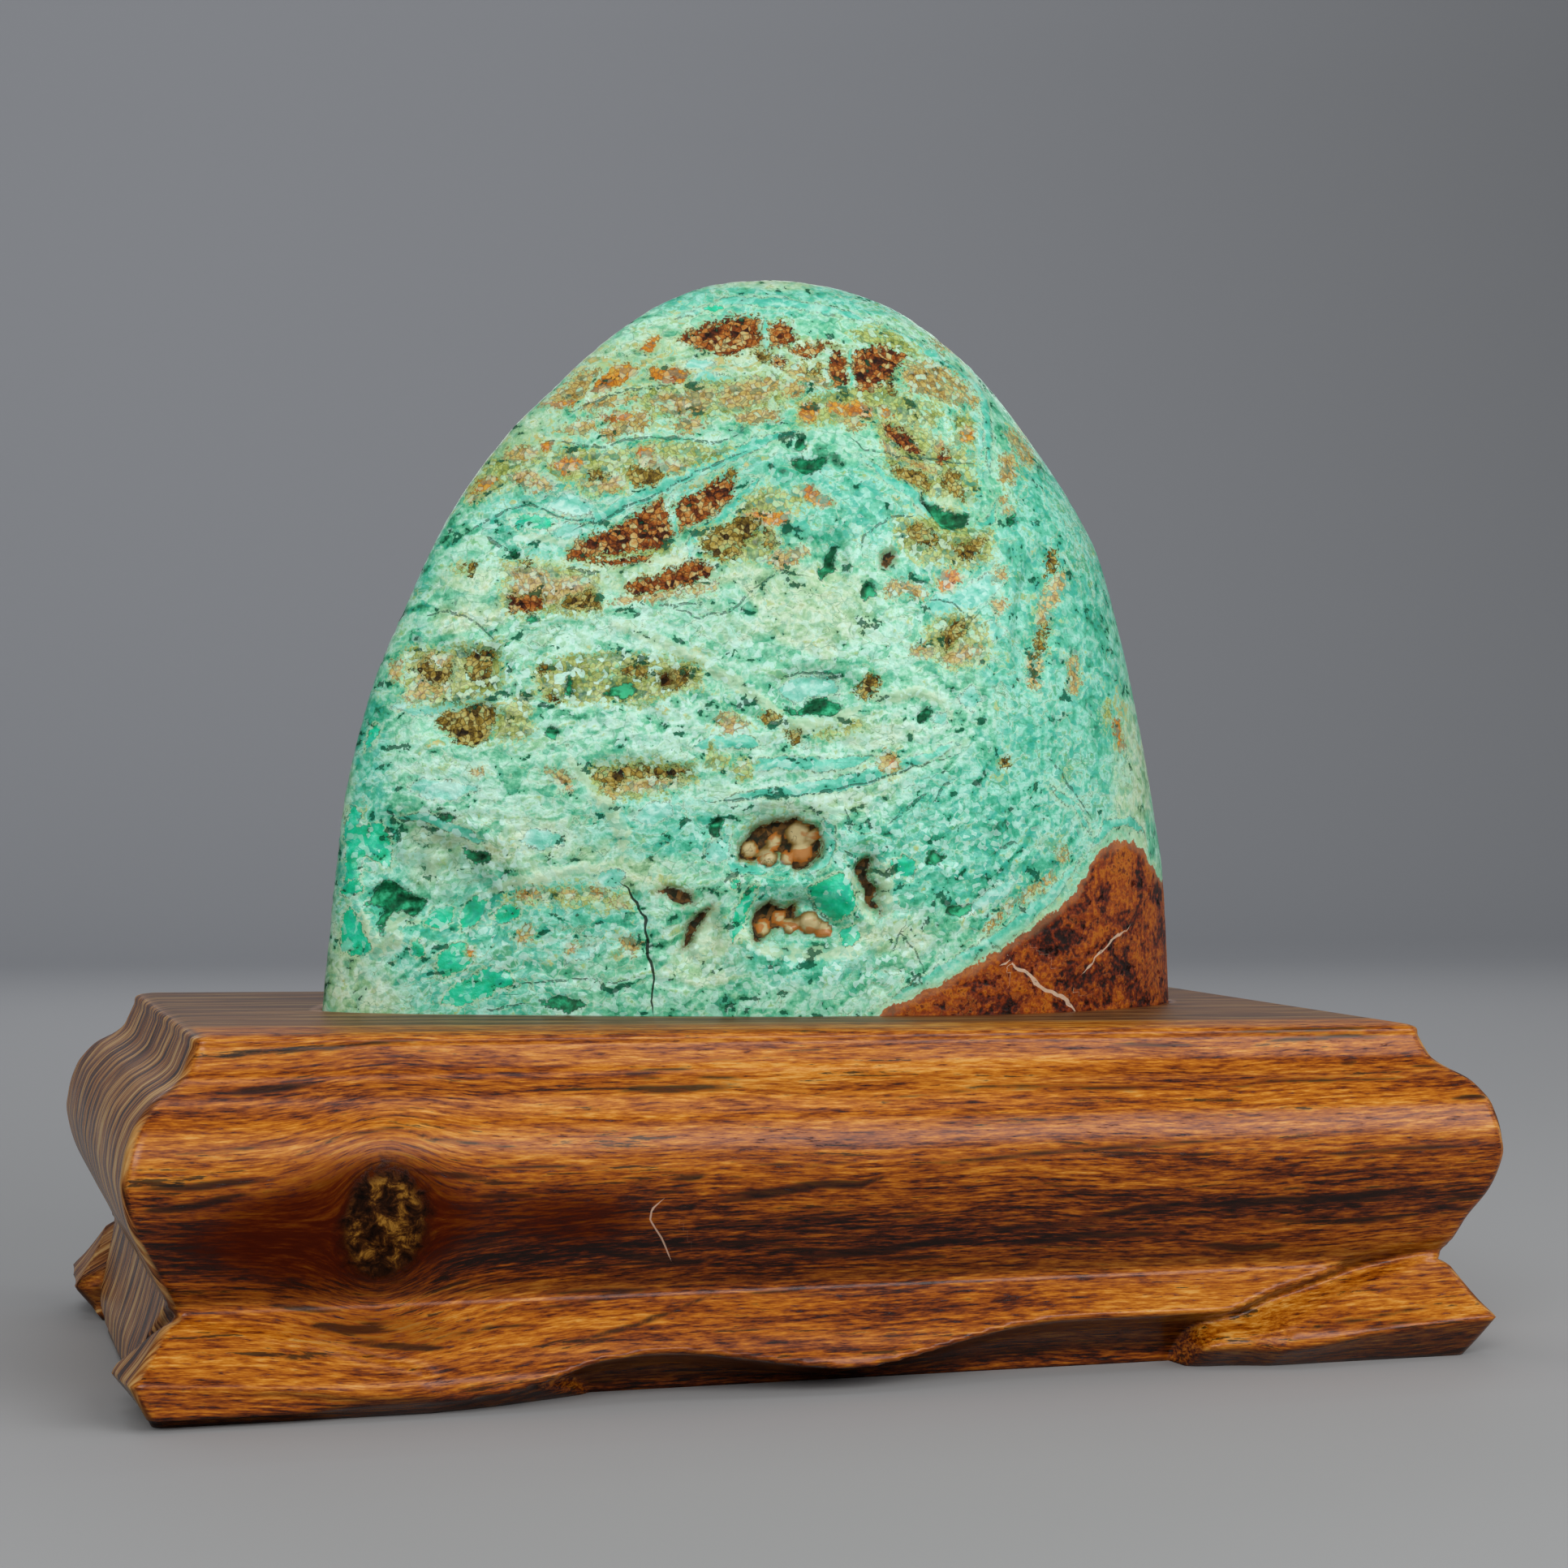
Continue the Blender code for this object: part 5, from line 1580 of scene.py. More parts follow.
@dataclass(frozen=True)
class PolishedSmithsonite:
    """Smithsonite, cut and polished: waxy mint and turquoise layers, dull in pits and rust."""

    ior: float = 1.62
    mint: Stops = (
        (0.10, "#17724C"), (0.25, "#3AA478"), (0.37, "#60BE92"), (0.48, "#7DCDA4"),
        (0.58, "#99DAB9"), (0.68, "#B8E8CF"), (0.78, "#92CF9A"), (0.90, "#70BC84"),
    )
    sea: Stops = (
        (0.10, "#0C6C4E"), (0.25, "#22A07A"), (0.37, "#3DB48F"), (0.48, "#56C3A1"),
        (0.58, "#74D1B5"), (0.68, "#96DEC9"), (0.80, "#54B88C"), (0.92, "#38A67A"),
    )
    leaf: Stops = (
        (0.10, "#55875A"), (0.25, "#7FB07C"), (0.37, "#9AC492"), (0.48, "#ACD0A0"),
        (0.58, "#BFDBB2"), (0.68, "#CDE3C2"), (0.80, "#B6C894"), (0.92, "#A2AE78"),
    )
    rust: Stops = (
        (0.08, "#1C0A02"), (0.22, "#4A1E06"), (0.36, "#7E3C0E"), (0.48, "#A25A1A"),
        (0.60, "#BC8038"), (0.74, "#C4A464"), (0.90, "#C2BE84"),
    )
    loam: Stops = (
        (0.08, "#1A1203"), (0.22, "#4C3A10"), (0.36, "#80681F"), (0.48, "#A28A38"),
        (0.60, "#B6A458"), (0.74, "#BCBA74"), (0.90, "#9CBA7A"),
    )
    tan: Stops = (
        (0.05, "#463608"), (0.20, "#846C26"), (0.36, "#AA9046"), (0.50, "#BCA85C"),
        (0.64, "#C4BA78"), (0.78, "#A4BC7C"), (0.92, "#78BE92"),
    )
    ochre: Stops = (
        (0.05, "#6A3004"), (0.22, "#A65E0A"), (0.40, "#C47C14"), (0.56, "#CE9026"),
        (0.74, "#CEA442"), (0.92, "#A8A450"),
    )
    olive: Stops = (
        (0.05, "#2C380A"), (0.20, "#5C6C1E"), (0.36, "#88963C"), (0.50, "#A2AE56"),
        (0.64, "#B8C876"), (0.76, "#A0CC88"), (0.90, "#6FC294"),
    )
    iron: Stops = (
        (0.22, "#180500"), (0.32, "#3E1000"), (0.42, "#662000"), (0.52, "#823200"),
        (0.62, "#9C4802"), (0.74, "#B6660A"), (0.86, "#6B2804"),
    )

    sky: Stops = ((0.30, "#4EBFA0"), (0.48, "#74CFB8"), (0.60, "#90DAC8"), (0.75, "#B6EADA"))
    gem: Stops = ((0.28, "#00A06C"), (0.45, "#00BE8A"), (0.58, "#18CE9E"), (0.75, "#58DEB8"))
    band: Stops = ((0.32, "#2FAE90"), (0.46, "#4CC6A8"), (0.56, "#68D2B8"), (0.70, "#A2E0C8"))
    horn: Stops = ((0.3, "#86B58A"), (0.5, "#A2C9A0"), (0.7, "#BCD9B6"))
    cave: Stops = ((0.20, "#160803"), (0.50, "#3A1D09"), (0.80, "#6A4418"))
    shaded_pearl: Stops = ((0.10, "#2E2008"), (0.45, "#8A7038"), (0.85, "#C4B484"))
    pit: Stops = ((0.32, "#02331A"), (0.46, "#065C36"), (0.57, "#108A5A"), (0.68, "#3EBE8A"))

    def ground(self, r: Recipe, look: StonePatterns) -> Socket:
        """The layered ground: mint, turquoise and leaf green cells with fine seams.

        Args:
            r: the material's recipe.
            look: its patterns.

        Returns:
            The ground's colour.
        """
        told, cell, grain = look.told, look.cell, look.grain
        tone = r.about_half((cell, 0.50), (told["rope"], 0.25), (told["cord"], 0.60),
                            (grain, 0.80), (told["band"], 0.22), (look.shard, 0.24))
        tone = r.add("Math", told["light"], 0.05, tone, operation="MULTIPLY_ADD")
        ground = r.add("ValToRGB", tone, stops=self.mint)
        wander = r.about_half((look.zone, 1.3), (told["band"], 0.8), (cell, 0.5),
                              (look.shard, 0.12))
        for name, stops in (("sage", self.leaf), ("turquoise", self.sea)):
            reach = r.add("Math", told[name], wander, operation="ADD")
            ground = r.lay(ground, r.add("ValToRGB", tone, stops=stops),
                           r.step(reach, 0.70, 1.10), 0.9)
        whiten = r.add("Math", told["light"], r.step(tone, 0.40, 0.62), operation="MULTIPLY")
        ground = r.lay(ground, "#C8EEDF", whiten, 0.45)
        # Fine growth lines: thin dark seams between the cells, each with a pale lip. The seams'
        # darkness is partly their own green and partly painted shade in the grooves.
        seam = r.about_half((cell, 1.3), (told["rope"], 0.9), (grain, 0.3))
        seam = r.add("Math", r.add("Math", seam, 0.5, operation="SUBTRACT"),
                     operation="ABSOLUTE")
        worn = r.about_half((look.zone, 1.2), (told["band"], 1.0), (grain, 0.4))
        open_seam = r.step(worn, 0.42, 0.62)
        lip = r.add("Math", r.step(seam, 0.070, 0.028), open_seam, operation="MULTIPLY")
        ground = r.lay(ground, "#C4DFB8", lip, 0.45)
        dark = r.add("Math", r.step(seam, 0.022, 0.006), open_seam, operation="MULTIPLY")
        ground = r.lay(ground, "#37805C", dark, 0.65)
        broken = r.step(r.about_half((cell, 1.0), (told["cord"], 0.8)), 0.42, 0.56)
        edge = r.add("Math", r.step(look.shard_edge, 0.055, 0.015), broken,
                     operation="MULTIPLY")
        edge_colour = r.lay("#3F8A66", "#C6E6CC", r.step(cell, 0.50, 0.56))
        return r.lay(ground, edge_colour, edge, 0.45)

    def patches(self, r: Recipe, look: StonePatterns, colour: Socket) -> tuple[Socket, Socket]:
        """Lays the minerals over the ground: first as stains by chance, then by the marks.

        Args:
            r: the material's recipe.
            look: its patterns.
            colour: the ground's colour.

        Returns:
            The new colour, and the share of crumbling rust and loam.
        """
        told, grain, cell = look.told, look.grain, look.cell
        khaki, sand = (r.add("ValToRGB", look.sandy, stops=s) for s in (self.olive, self.tan))
        stain = r.about_half((cell, 1.0), (told["cord"], 0.4), (grain, 1.1), (look.crumb, 0.20))
        stain = r.add("Math", told["earth"], 0.26, stain, operation="MULTIPLY_ADD")
        colour = r.lay(colour, khaki, r.step(stain, 0.76, 0.83), 0.75)
        colour = r.lay(colour, sand, r.step(stain, 0.85, 0.91), 0.85)
        # Each mineral: its tone and stops, the colour and share of its crevices, how ragged and
        # how soft its edge is, its share, and the colour of the rim round it.
        rusty, sandy, calm = look.rusty, look.sandy, look.calm
        fills = (
            ("ribbon", calm, self.band, None, 0.0, 0.30, 0.12, 0.92, "#B0DAB2"),
            ("bar", calm, self.horn, None, 0.0, 0.4, 0.30, 0.85, "#C4DEB8"),
            ("sky", calm, self.sky, None, 0.0, 0.6, 0.25, 0.9, "#C0E2C8"),
            ("emerald", calm, self.gem, None, 0.0, 0.5, 0.10, 1.0, "#BAD8AA"),
            ("olive", sandy, self.olive, "#3C5014", 0.50, 1.3, 0.35, 0.95, "#AACB88"),
            ("tan", sandy, self.tan, "#5C3A14", 0.55, 1.0, 0.18, 1.0, "#B4CC92"),
            ("ochre", sandy, self.ochre, "#6A3208", 0.5, 0.7, 0.16, 1.0, "#B6B870"),
            ("loam", rusty, self.loam, "#2A1A04", 0.60, 0.9, 0.16, 1.0, "#9CAE60"),
            ("rust", rusty, self.rust, "#220D03", 0.62, 0.9, 0.16, 1.0, "#A0A458"),
        )
        without_shadow_line = ("bar", "olive")
        shares: dict[str, Socket] = {}
        for name, tone, stops, crack, cracked, sway, soft, weight, rim_colour in fills:
            fill = r.add("ValToRGB", tone, stops=stops)
            if crack:
                fill = r.lay(fill, crack, look.crevice, cracked)
            inside = look.depth_in(name, sway)
            colour = r.lay(colour, rim_colour, r.step(inside, -1.0, -0.2), 0.55)
            shares[name] = r.step(inside, -soft, soft)
            colour = r.lay(colour, fill, shares[name], weight)
            # A thin, broken dark line round the patch's edge: a painted shadow line.
            if name not in without_shadow_line:
                outline = r.add("Math", inside, operation="ABSOLUTE")
                outline = r.add("Math", r.step(outline, 0.24, 0.06),
                                r.step(look.jitter, 0.42, 0.62), operation="MULTIPLY")
                colour = r.lay(colour, "#3A4420", outline, 0.65)
        return colour, r.add("Math", shares["rust"], shares["loam"], operation="MAXIMUM")

    def specks(self, r: Recipe, look: StonePatterns, colour: Socket,
               crumbling: Socket) -> tuple[Socket, Socket]:
        """Scatters crisp flecks of broken crystal and dark open pores, and paints shade into the
        deep hollows.

        Args:
            r: the material's recipe.
            look: its patterns.
            colour: the colour under them.
            crumbling: the share of crumbling rust and loam, which has no flecks.

        Returns:
            The new colour, and the share of open pores.
        """
        told = look.told
        # Small crisp flecks, pale ones and blue-green ones.
        for low, high, tint, where, weight in ((0.80, 0.84, "#C6F0E4", "lumpy", 0.60),
                                               (0.20, 0.16, "#26B09A", "turquoise", 0.55)):
            fleck = r.add("Math", told[where], 0.6, 0.4, operation="MULTIPLY_ADD")
            fleck = r.add("Math", fleck, r.step(look.crumb, low, high), operation="MULTIPLY")
            bare = r.add("Math", 1.0, crumbling, operation="SUBTRACT")
            fleck = r.add("Math", fleck, bare, operation="MULTIPLY")
            colour = r.lay(colour, tint, fleck, weight)
        # The pores are crowded where the stone is lumpy.
        crowd = r.about_half((look.cell, 1.1), (look.grain, 0.8), (told["cord"], 0.5))
        crowd = r.add("Math", told["lumpy"], -0.05, crowd, operation="MULTIPLY_ADD")
        speck = r.step(crowd, 0.225, 0.185)
        colour = r.lay(colour, "#0D4E36", speck, 0.80)
        # Painted shade in the deep hollows: a darker green that grows with their depth.
        return r.lay(colour, "#3FA57C", r.step(told["deep"], 1.5, 5.5), 0.35), speck

    def vugs(self, r: Recipe, look: StonePatterns,
             colour: Socket) -> tuple[Socket, Socket, Socket]:
        """Darkens the caves, with round crystals in them painted lit on top and shaded round their
        edges, and the green pits, with painted shade round their rims.

        Args:
            r: the material's recipe.
            look: its patterns.
            colour: the colour round them.

        Returns:
            The new colour, the share of caves and the share of pits.
        """
        told = look.told
        cave = r.step(look.depth_in("cave", 0.4), -0.2, 0.2)
        colour = r.lay(colour, "#7A7434", r.step(look.depth_in("cave", 0.6), -1.6, -0.2), 0.5)
        colour = r.lay(colour, r.add("ValToRGB", look.rusty, stops=self.cave), cave, 0.95)
        # The round crystals: painted light on their tops and painted shade round their edges, by
        # each one's height; then their orange spots.
        shaded_pearl = r.add("ValToRGB", told["ball"], stops=self.shaded_pearl)
        shaded_pearl = r.lay(shaded_pearl, "#B4661A", r.step(look.cell, 0.53, 0.60), 0.75)
        colour = r.lay(colour, shaded_pearl, r.step(told["ball"], 0.05, 0.30))
        in_pit = look.depth_in("pit", 0.4)
        pit = r.step(in_pit, -0.12, 0.12)
        colour = r.lay(colour, r.add("ValToRGB", look.calm, stops=self.pit), pit, 0.95)
        # A dark ring at each pit's rim: painted shade at its edge.
        lip = r.step(r.add("Math", in_pit, operation="ABSOLUTE"), 0.30, 0.05)
        return r.lay(colour, "#042A1C", lip, 0.6), cave, pit

    def matrix(self, r: Recipe, look: StonePatterns, inside: Socket) -> Socket:
        """The iron-stained matrix: red-brown with dark and golden blotches and gold veins.

        Args:
            r: the material's recipe.
            look: its patterns.
            inside: how far inside the matrix a place is, in millimetres.

        Returns:
            The matrix's colour.
        """
        cell, grain = look.cell, look.grain
        blotch = r.mottle(look.place, 0.0085, 3.0, 0.6, twist=0.8)
        iron = r.add("ValToRGB", r.about_half((blotch, 1.2), (grain, 1.1), (cell, 0.6)),
                     stops=self.iron)
        net = r.about_half((blotch, 1.0), (cell, 1.0), (grain, 0.6))
        net = r.add("Math", r.add("Math", net, 0.5, operation="SUBTRACT"),
                    operation="ABSOLUTE")
        iron = r.lay(iron, "#B06E22", r.step(net, 0.020, 0.004), 0.5)
        iron = r.lay(iron, "#B07850", r.step(inside, 1.9, 0.5), 0.50)
        vein = r.line(look.told["matrix_vein"], look.told["matrix_vein_half"], grain)
        return r.lay(iron, "#D4B89C", vein, 0.85)

    def build(self) -> bpy.types.Material:
        """Builds the material: a layered ground, the patches over it, then lines and pits.

        Returns:
            The material.
        """
        material, r, shader = new_finish("polished_smithsonite_with_iron_matrix")
        look = StonePatterns(r)
        told, grain = look.told, look.grain
        colour, crumbling = self.patches(r, look, self.ground(r, look))
        colour, speck = self.specks(r, look, colour, crumbling)
        colour, cave, pit = self.vugs(r, look, colour)
        hairline = r.line(told["hairline"], told["hairline_half"], grain)
        hairline = r.add("Math", hairline, r.step(look.jitter, 0.36, 0.56),
                         operation="MULTIPLY")
        colour = r.lay(colour, "#1C5E48", hairline, 0.75)
        inside = look.depth_in("matrix", 0.30)
        colour = r.lay(colour, "#B4DCAE", r.step(inside, -2.6, -0.3), 0.50)
        matrix = r.step(inside, -0.12, 0.12)
        colour = r.lay(colour, self.matrix(r, look, inside), matrix)
        crack = r.line(told["crack"], told["crack_half"], grain)
        colour = r.lay(colour, "#120D08", crack, 0.92)

        broken: Any = speck
        crumbly = r.add("Math", crumbling, 0.8, operation="MULTIPLY")
        dull = r.add("Math", matrix, 0.5, operation="MULTIPLY")
        for share in (pit, crack, crumbly, dull, cave):
            broken = r.add("Math", broken, share, operation="MAXIMUM")
        rough = r.add("MapRange", broken, 0.0, 1.0, 0.30, 0.70)
        height = r.add("Math", look.cell, 0.35, operation="MULTIPLY")
        crumbs = r.add("Math", crumbling, look.rusty, operation="MULTIPLY")
        for value, amount in ((grain, 0.16), (speck, -0.35), (hairline, -0.25), (crumbs, 0.7)):
            height = r.add("Math", value, amount, height, operation="MULTIPLY_ADD")
        r.finish(colour, rough, height, 0.9)
        # Pits and crumbling rust are unpolished, so nearly nothing shines in them.
        shine = r.add("MapRange", broken, 0.0, 1.0, 0.32, 0.08)
        r.tree.links.new(shine, shader.inputs["Specular IOR Level"])
        shader.inputs["IOR"].default_value = self.ior
        return material


@dataclass(frozen=True)
class FaceLines:
    """The carving of one face: its skirt's lip and the top line of its feet."""

    lip: SmoothLine
    foot: SmoothLine


@dataclass(frozen=True)
class StandForm:
    """The stand's moulding, skirt and feet."""

    top: StandTop = StandTop()
    half_length: float = 0.1330
    half_depth: float = 0.0690
    corner: float = 0.0025
    foot_on_floor: float = 0.0076
    cave_on_floor: float = -0.0040
    cave_curve: float = 2.5
    foot_bite: float = 1.5
    foot_fade: float = 1.2
    low_foot: float = 0.009
    fade_over: float = 0.015
    end_lips: tuple[float, float] = (0.004, 0.016)
    face_reach: float = 0.008
    waist: float = 0.0044
    waist_share: float = 0.300
    end_skirt_reach: float = 0.45
    left_foot_step: float = 0.0010
    crease: float = 0.0005
    columns: tuple[int, int, int, int] = (330, 128, 190, 128)
    corner_columns: int = 5
    levels: int = 100
    moulding: SmoothLine = SmoothLine((
        (0.000, 0.0140), (0.080, 0.0138), (0.115, 0.0128), (0.165, 0.0098), (0.225, 0.0067),
        (0.268, 0.0047), (0.300, 0.0041), (0.400, 0.0078), (0.510, 0.0120), (0.610, 0.0138),
        (0.665, 0.0136), (0.710, 0.0130), (0.750, 0.0120), (0.785, 0.0107), (0.836, 0.0074),
        (0.868, 0.0037), (0.894, 0.0015), (0.925, 0.0004), (0.955, -0.0005), (0.966, -0.0008),
        (0.985, -0.0010), (0.995, -0.0020), (1.000, -0.0040),
    ))
    right_draw: SmoothLine = SmoothLine((
        (0.000, 0.0014), (0.150, 0.0008), (0.270, 0.0003), (0.360, 0.0012), (0.450, 0.0020),
        (0.600, 0.0016), (0.720, 0.0010), (0.800, 0.0000), (0.860, -0.0010), (0.920, -0.0006),
        (1.000, -0.0006),
    ))
    tips: SmoothLine = SmoothLine((
        (0.076, 0.0048), (0.097, 0.0045), (0.114, 0.0068), (0.129, 0.0080), (0.150, 0.0092),
    ))
    front: FaceLines = FaceLines(
        SmoothLine((
            (-0.150, 0.0020), (-0.085, 0.0030), (-0.066, 0.0055), (-0.052, 0.0092),
            (-0.034, 0.0097),
            (-0.008, 0.0058), (0.004, 0.0057), (0.027, 0.0103), (0.044, 0.0122),
            (0.071, 0.0122), (0.084, 0.0125), (0.097, 0.0159), (0.111, 0.0188),
            (0.130, 0.0234), (0.150, 0.0250),
        )),
        SmoothLine((
            (-0.150, 0.0200), (-0.137, 0.0185), (-0.114, 0.0148), (-0.102, 0.0120),
            (-0.090, 0.0093), (-0.077, 0.0067), (-0.068, 0.0042), (-0.054, -0.0005),
            (-0.045, -0.0060), (0.064, -0.0060),
            (0.078, 0.0052), (0.089, 0.0072), (0.108, 0.0128), (0.134, 0.0197),
            (0.150, 0.0225),
        )),
    )
    back: FaceLines = FaceLines(
        SmoothLine((
            (-0.150, 0.0245), (-0.128, 0.0228), (-0.104, 0.0160), (-0.082, 0.0118),
            (-0.050, 0.0105), (-0.022, 0.0068), (0.004, 0.0086), (0.032, 0.0124),
            (0.066, 0.0098), (0.092, 0.0040), (0.150, 0.0020),
        )),
        SmoothLine((
            (-0.150, 0.0220), (-0.132, 0.0190), (-0.108, 0.0118), (-0.090, 0.0066),
            (-0.076, 0.0030), (-0.064, -0.0060), (0.066, -0.0060), (0.080, 0.0045),
            (0.098, 0.0105), (0.120, 0.0160), (0.150, 0.0200),
        )),
    )
    end: FaceLines = FaceLines(
        SmoothLine((
            (-0.085, 0.0240), (-0.069, 0.0212), (-0.060, 0.0165), (-0.048, 0.0100),
            (-0.036, 0.0040), (0.000, 0.0025), (0.034, 0.0040), (0.046, 0.0095),
            (0.059, 0.0160), (0.069, 0.0205), (0.085, 0.0235),
        )),
        SmoothLine((
            (-0.085, 0.0215), (-0.069, 0.0165), (-0.058, 0.0115), (-0.050, 0.0065),
            (-0.044, -0.0060), (0.043, -0.0060), (0.050, 0.0060), (0.058, 0.0110),
            (0.069, 0.0160), (0.085, 0.0210),
        )),
    )

    def stand_out(self, lines: FaceLines, along: Points, up: Points, share: Points,
                  is_end: bool) -> Points:
        """How far a face stands out from the rim: its skirt, or the foot in front of it.

        Args:
            lines: the face's carved lines.
            along: the distance right of the face's middle.
            up: the height over the floor.
            share: the same as a share of the stand's height.
            is_end: whether this is one of the two short faces.

        Returns:
            The distance out from the rim at each place.
        """
        moulding = self.moulding(share)
        lip = lines.lip(along)
        reach = self.end_skirt_reach if is_end else 1.0
        under_waist = up < self.waist_share * self.top.height
        flare = np.where(under_waist, self.waist + (moulding - self.waist) * reach, moulding)
        at_lip = self.waist + (self.moulding(lip / self.top.height) - self.waist) * reach
        cave = self.cave_on_floor
        if is_end:
            cave = np.interp(lip, self.end_lips, (self.foot_on_floor, self.cave_on_floor))
        sink = np.clip(up / np.maximum(lip, 1e-5), 0.0, 1.0) ** self.cave_curve
        body = np.where(up < lip, cave + (at_lip - cave) * sink, flare)
        foot_top = lines.foot(along)
        from_corner = np.abs(along) + (self.half_length - self.half_depth if is_end else 0.0)
        tip = self.tips(from_corner)
        at_tip = self.moulding(tip / self.top.height)
        under = self.foot_on_floor + (at_tip - self.foot_on_floor) * np.clip(up / tip, 0, 1)
        foot = np.where(up < tip, under, moulding)
        if lines is self.front:
            foot = foot + np.where(along < 0, self.left_foot_step, 0.0)
        foot = foot - self.foot_bite * np.maximum(up - foot_top, 0.0)
        foot = foot - self.foot_fade * np.clip(self.low_foot - foot_top, 0.0, self.fade_over)
        return (body + foot + np.sqrt((body - foot) ** 2 + self.crease**2)) / 2

    def columns_round(self) -> Points:
        """Sends the columns of points round the stand, closer together at the corners.

        Returns:
            Each column's place on the unit square and its direction outward.
        """
        corners = ((1, -1), (1, 1), (-1, 1), (-1, -1))
        found = []
        for side, count in enumerate(self.columns):
            start, end = corners[side - 1], corners[side]
            heading = side * math.pi / 2 - math.pi / 2
            for step in range(1, count):
                t = step / count
                spot = [a + (b - a) * t for a, b in zip(start, end)]
                found.append((*spot, math.cos(heading), math.sin(heading)))
            for step in range(self.corner_columns):
                turn = heading + step / (self.corner_columns - 1) * math.pi / 2
                found.append((*end, math.cos(turn), math.sin(turn)))
        return np.array(found)

    def rings(self) -> list[Points]:
        """Carves the sides.

        Returns:
            The rings of points, from the floor up to the flat of the top.
        """
        tx, ty, nx, ny = self.columns_round().T
        along_x = tx * (self.half_length + self.face_reach)
        along_y = ty * (self.half_depth + self.face_reach)
        low = np.linspace(0.0, 0.93, self.levels - 14)
        shares = np.concatenate([low, 1.0 - 0.07 * (1 - np.linspace(0, 1, 15)[1:]) ** 1.5])
        found = []
        for share in shares:
            up = share * self.top.at(along_x)
            flat = np.full(len(tx), share)
            front = self.stand_out(self.front, along_x, up, flat, False)
            back = self.stand_out(self.back, -along_x, up, flat, False)
            right = self.stand_out(self.end, along_y, up, flat, True) - self.right_draw(flat)
            left = self.stand_out(self.end, -along_y, up, flat, True)
            out_x = np.where(tx > 0, right, left)
            out_y = np.where(ty > 0, back, front)
            x = tx * (self.half_length + out_x - self.corner) + self.corner * nx
            y = ty * (self.half_depth + out_y - self.corner) + self.corner * ny
            found.append(np.column_stack([x, y, share * self.top.at(x)]))
        return found


@dataclass(frozen=True)
class WoodMarks:
    """The wood's knot and its darkest streaks, where the photograph shows them."""

    pixel: float = 0.00019
    knot: tuple[float, float] = (-0.0965, 0.0377)
    knot_size: tuple[float, float] = (0.0080, 0.0108)
    streaks: tuple[Stroke, ...] = (
        Stroke((240, 1306, 318, 1297, 515, 1282), 3),
        Stroke((264, 1348, 312, 1345, 396, 1333), 5),
        Stroke((749, 1342, 830, 1342, 911, 1339), 5),
        Stroke((767, 1324, 815, 1327), 3),
        Stroke((348, 1432, 420, 1399, 492, 1390, 540, 1405, 600, 1411, 660, 1417), 2.5),
        Stroke((504, 1438, 540, 1447, 600, 1450), 4),
        Stroke((162, 1465, 258, 1462, 348, 1450), 5),
        Stroke((165, 1495, 240, 1486, 318, 1468), 5),
        Stroke((204, 1540, 300, 1546), 4),
        Stroke((576, 1474, 666, 1474), 3.5),
        Stroke((821, 1453, 875, 1447), 4),
        Stroke((887, 1474, 995, 1462), 4),
        Stroke((725, 1540, 779, 1549, 857, 1555, 887, 1546), 5),
        Stroke((588, 1438, 779, 1438), 2),
        Stroke((372, 1630, 430, 1638, 490, 1640), 6),
        Stroke((420, 1636, 492, 1630), 3),
        Stroke((420, 1652, 500, 1660, 560, 1662), 5),
        Stroke((660, 1594, 827, 1588), 2.5),
        Stroke((1368, 1286, 1477, 1288), 2.5),
        Stroke((1089, 1353, 1223, 1339, 1495, 1341), 2.5),
        Stroke((1101, 1437, 1241, 1425, 1374, 1413, 1526, 1404), 3),
        Stroke((962, 1462, 1059, 1459, 1095, 1447), 5),
        Stroke((1453, 1486, 1556, 1480, 1677, 1474, 1774, 1459), 5),
        Stroke((1471, 1534, 1532, 1537, 1592, 1534), 5),
        Stroke((1192, 1519, 1289, 1510, 1374, 1507), 3),
        Stroke((968, 1547, 1071, 1544, 1168, 1528, 1223, 1531), 4),
        Stroke((1616, 1422, 1835, 1410), 3),
        Stroke((1532, 1501, 1677, 1507, 1756, 1495), 3),
        Stroke((1786, 1353, 1841, 1350), 3),
        Stroke((330, 1272, 400, 1268, 440, 1266), 4),
        Stroke((480, 1430, 520, 1445, 560, 1450, 625, 1456), 3),
        Stroke((320, 1606, 350, 1608, 420, 1616), 4),
        Stroke((535, 1650, 600, 1636, 680, 1630), 2.5),
        Stroke((590, 1620, 700, 1608, 790, 1590), 2),
        Stroke((850, 1327, 925, 1327), 2.5),
        Stroke((775, 1316, 855, 1318), 1.8),
        Stroke((965, 1296, 1015, 1293), 1.8),
        Stroke((860, 1305, 918, 1302), 1.5),
        Stroke((880, 1511, 940, 1505, 1060, 1493), 1.8),
        Stroke((1080, 1551, 1168, 1548), 3),
        Stroke((1215, 1535, 1290, 1530, 1335, 1521, 1465, 1520), 4),
        Stroke((700, 1655, 780, 1633, 850, 1607, 884, 1591), 3),
        Stroke((895, 1602, 960, 1590, 1035, 1598), 1.8),
        Stroke((1560, 1283, 1640, 1278, 1710, 1277), 3),
        Stroke((1500, 1272, 1600, 1270, 1712, 1266), 2),
        Stroke((1650, 1309, 1675, 1306), 3),
        Stroke((1738, 1313, 1782, 1312), 2),
        Stroke((1495, 1338, 1600, 1331, 1730, 1329), 2),
        Stroke((1335, 1502, 1400, 1490, 1460, 1486), 3.5),
        Stroke((1750, 1484, 1822, 1492), 3.5),
        Stroke((1590, 1642, 1700, 1621, 1790, 1604), 2.5),
        Stroke((1680, 1637, 1770, 1624), 2),
        Stroke((880, 1482, 960, 1470, 1010, 1461, 1060, 1462, 1085, 1450), 4),
        Stroke((215, 1422, 300, 1416, 380, 1402), 1.8),
        Stroke((900, 1432, 1000, 1437, 1060, 1430), 2),
    )
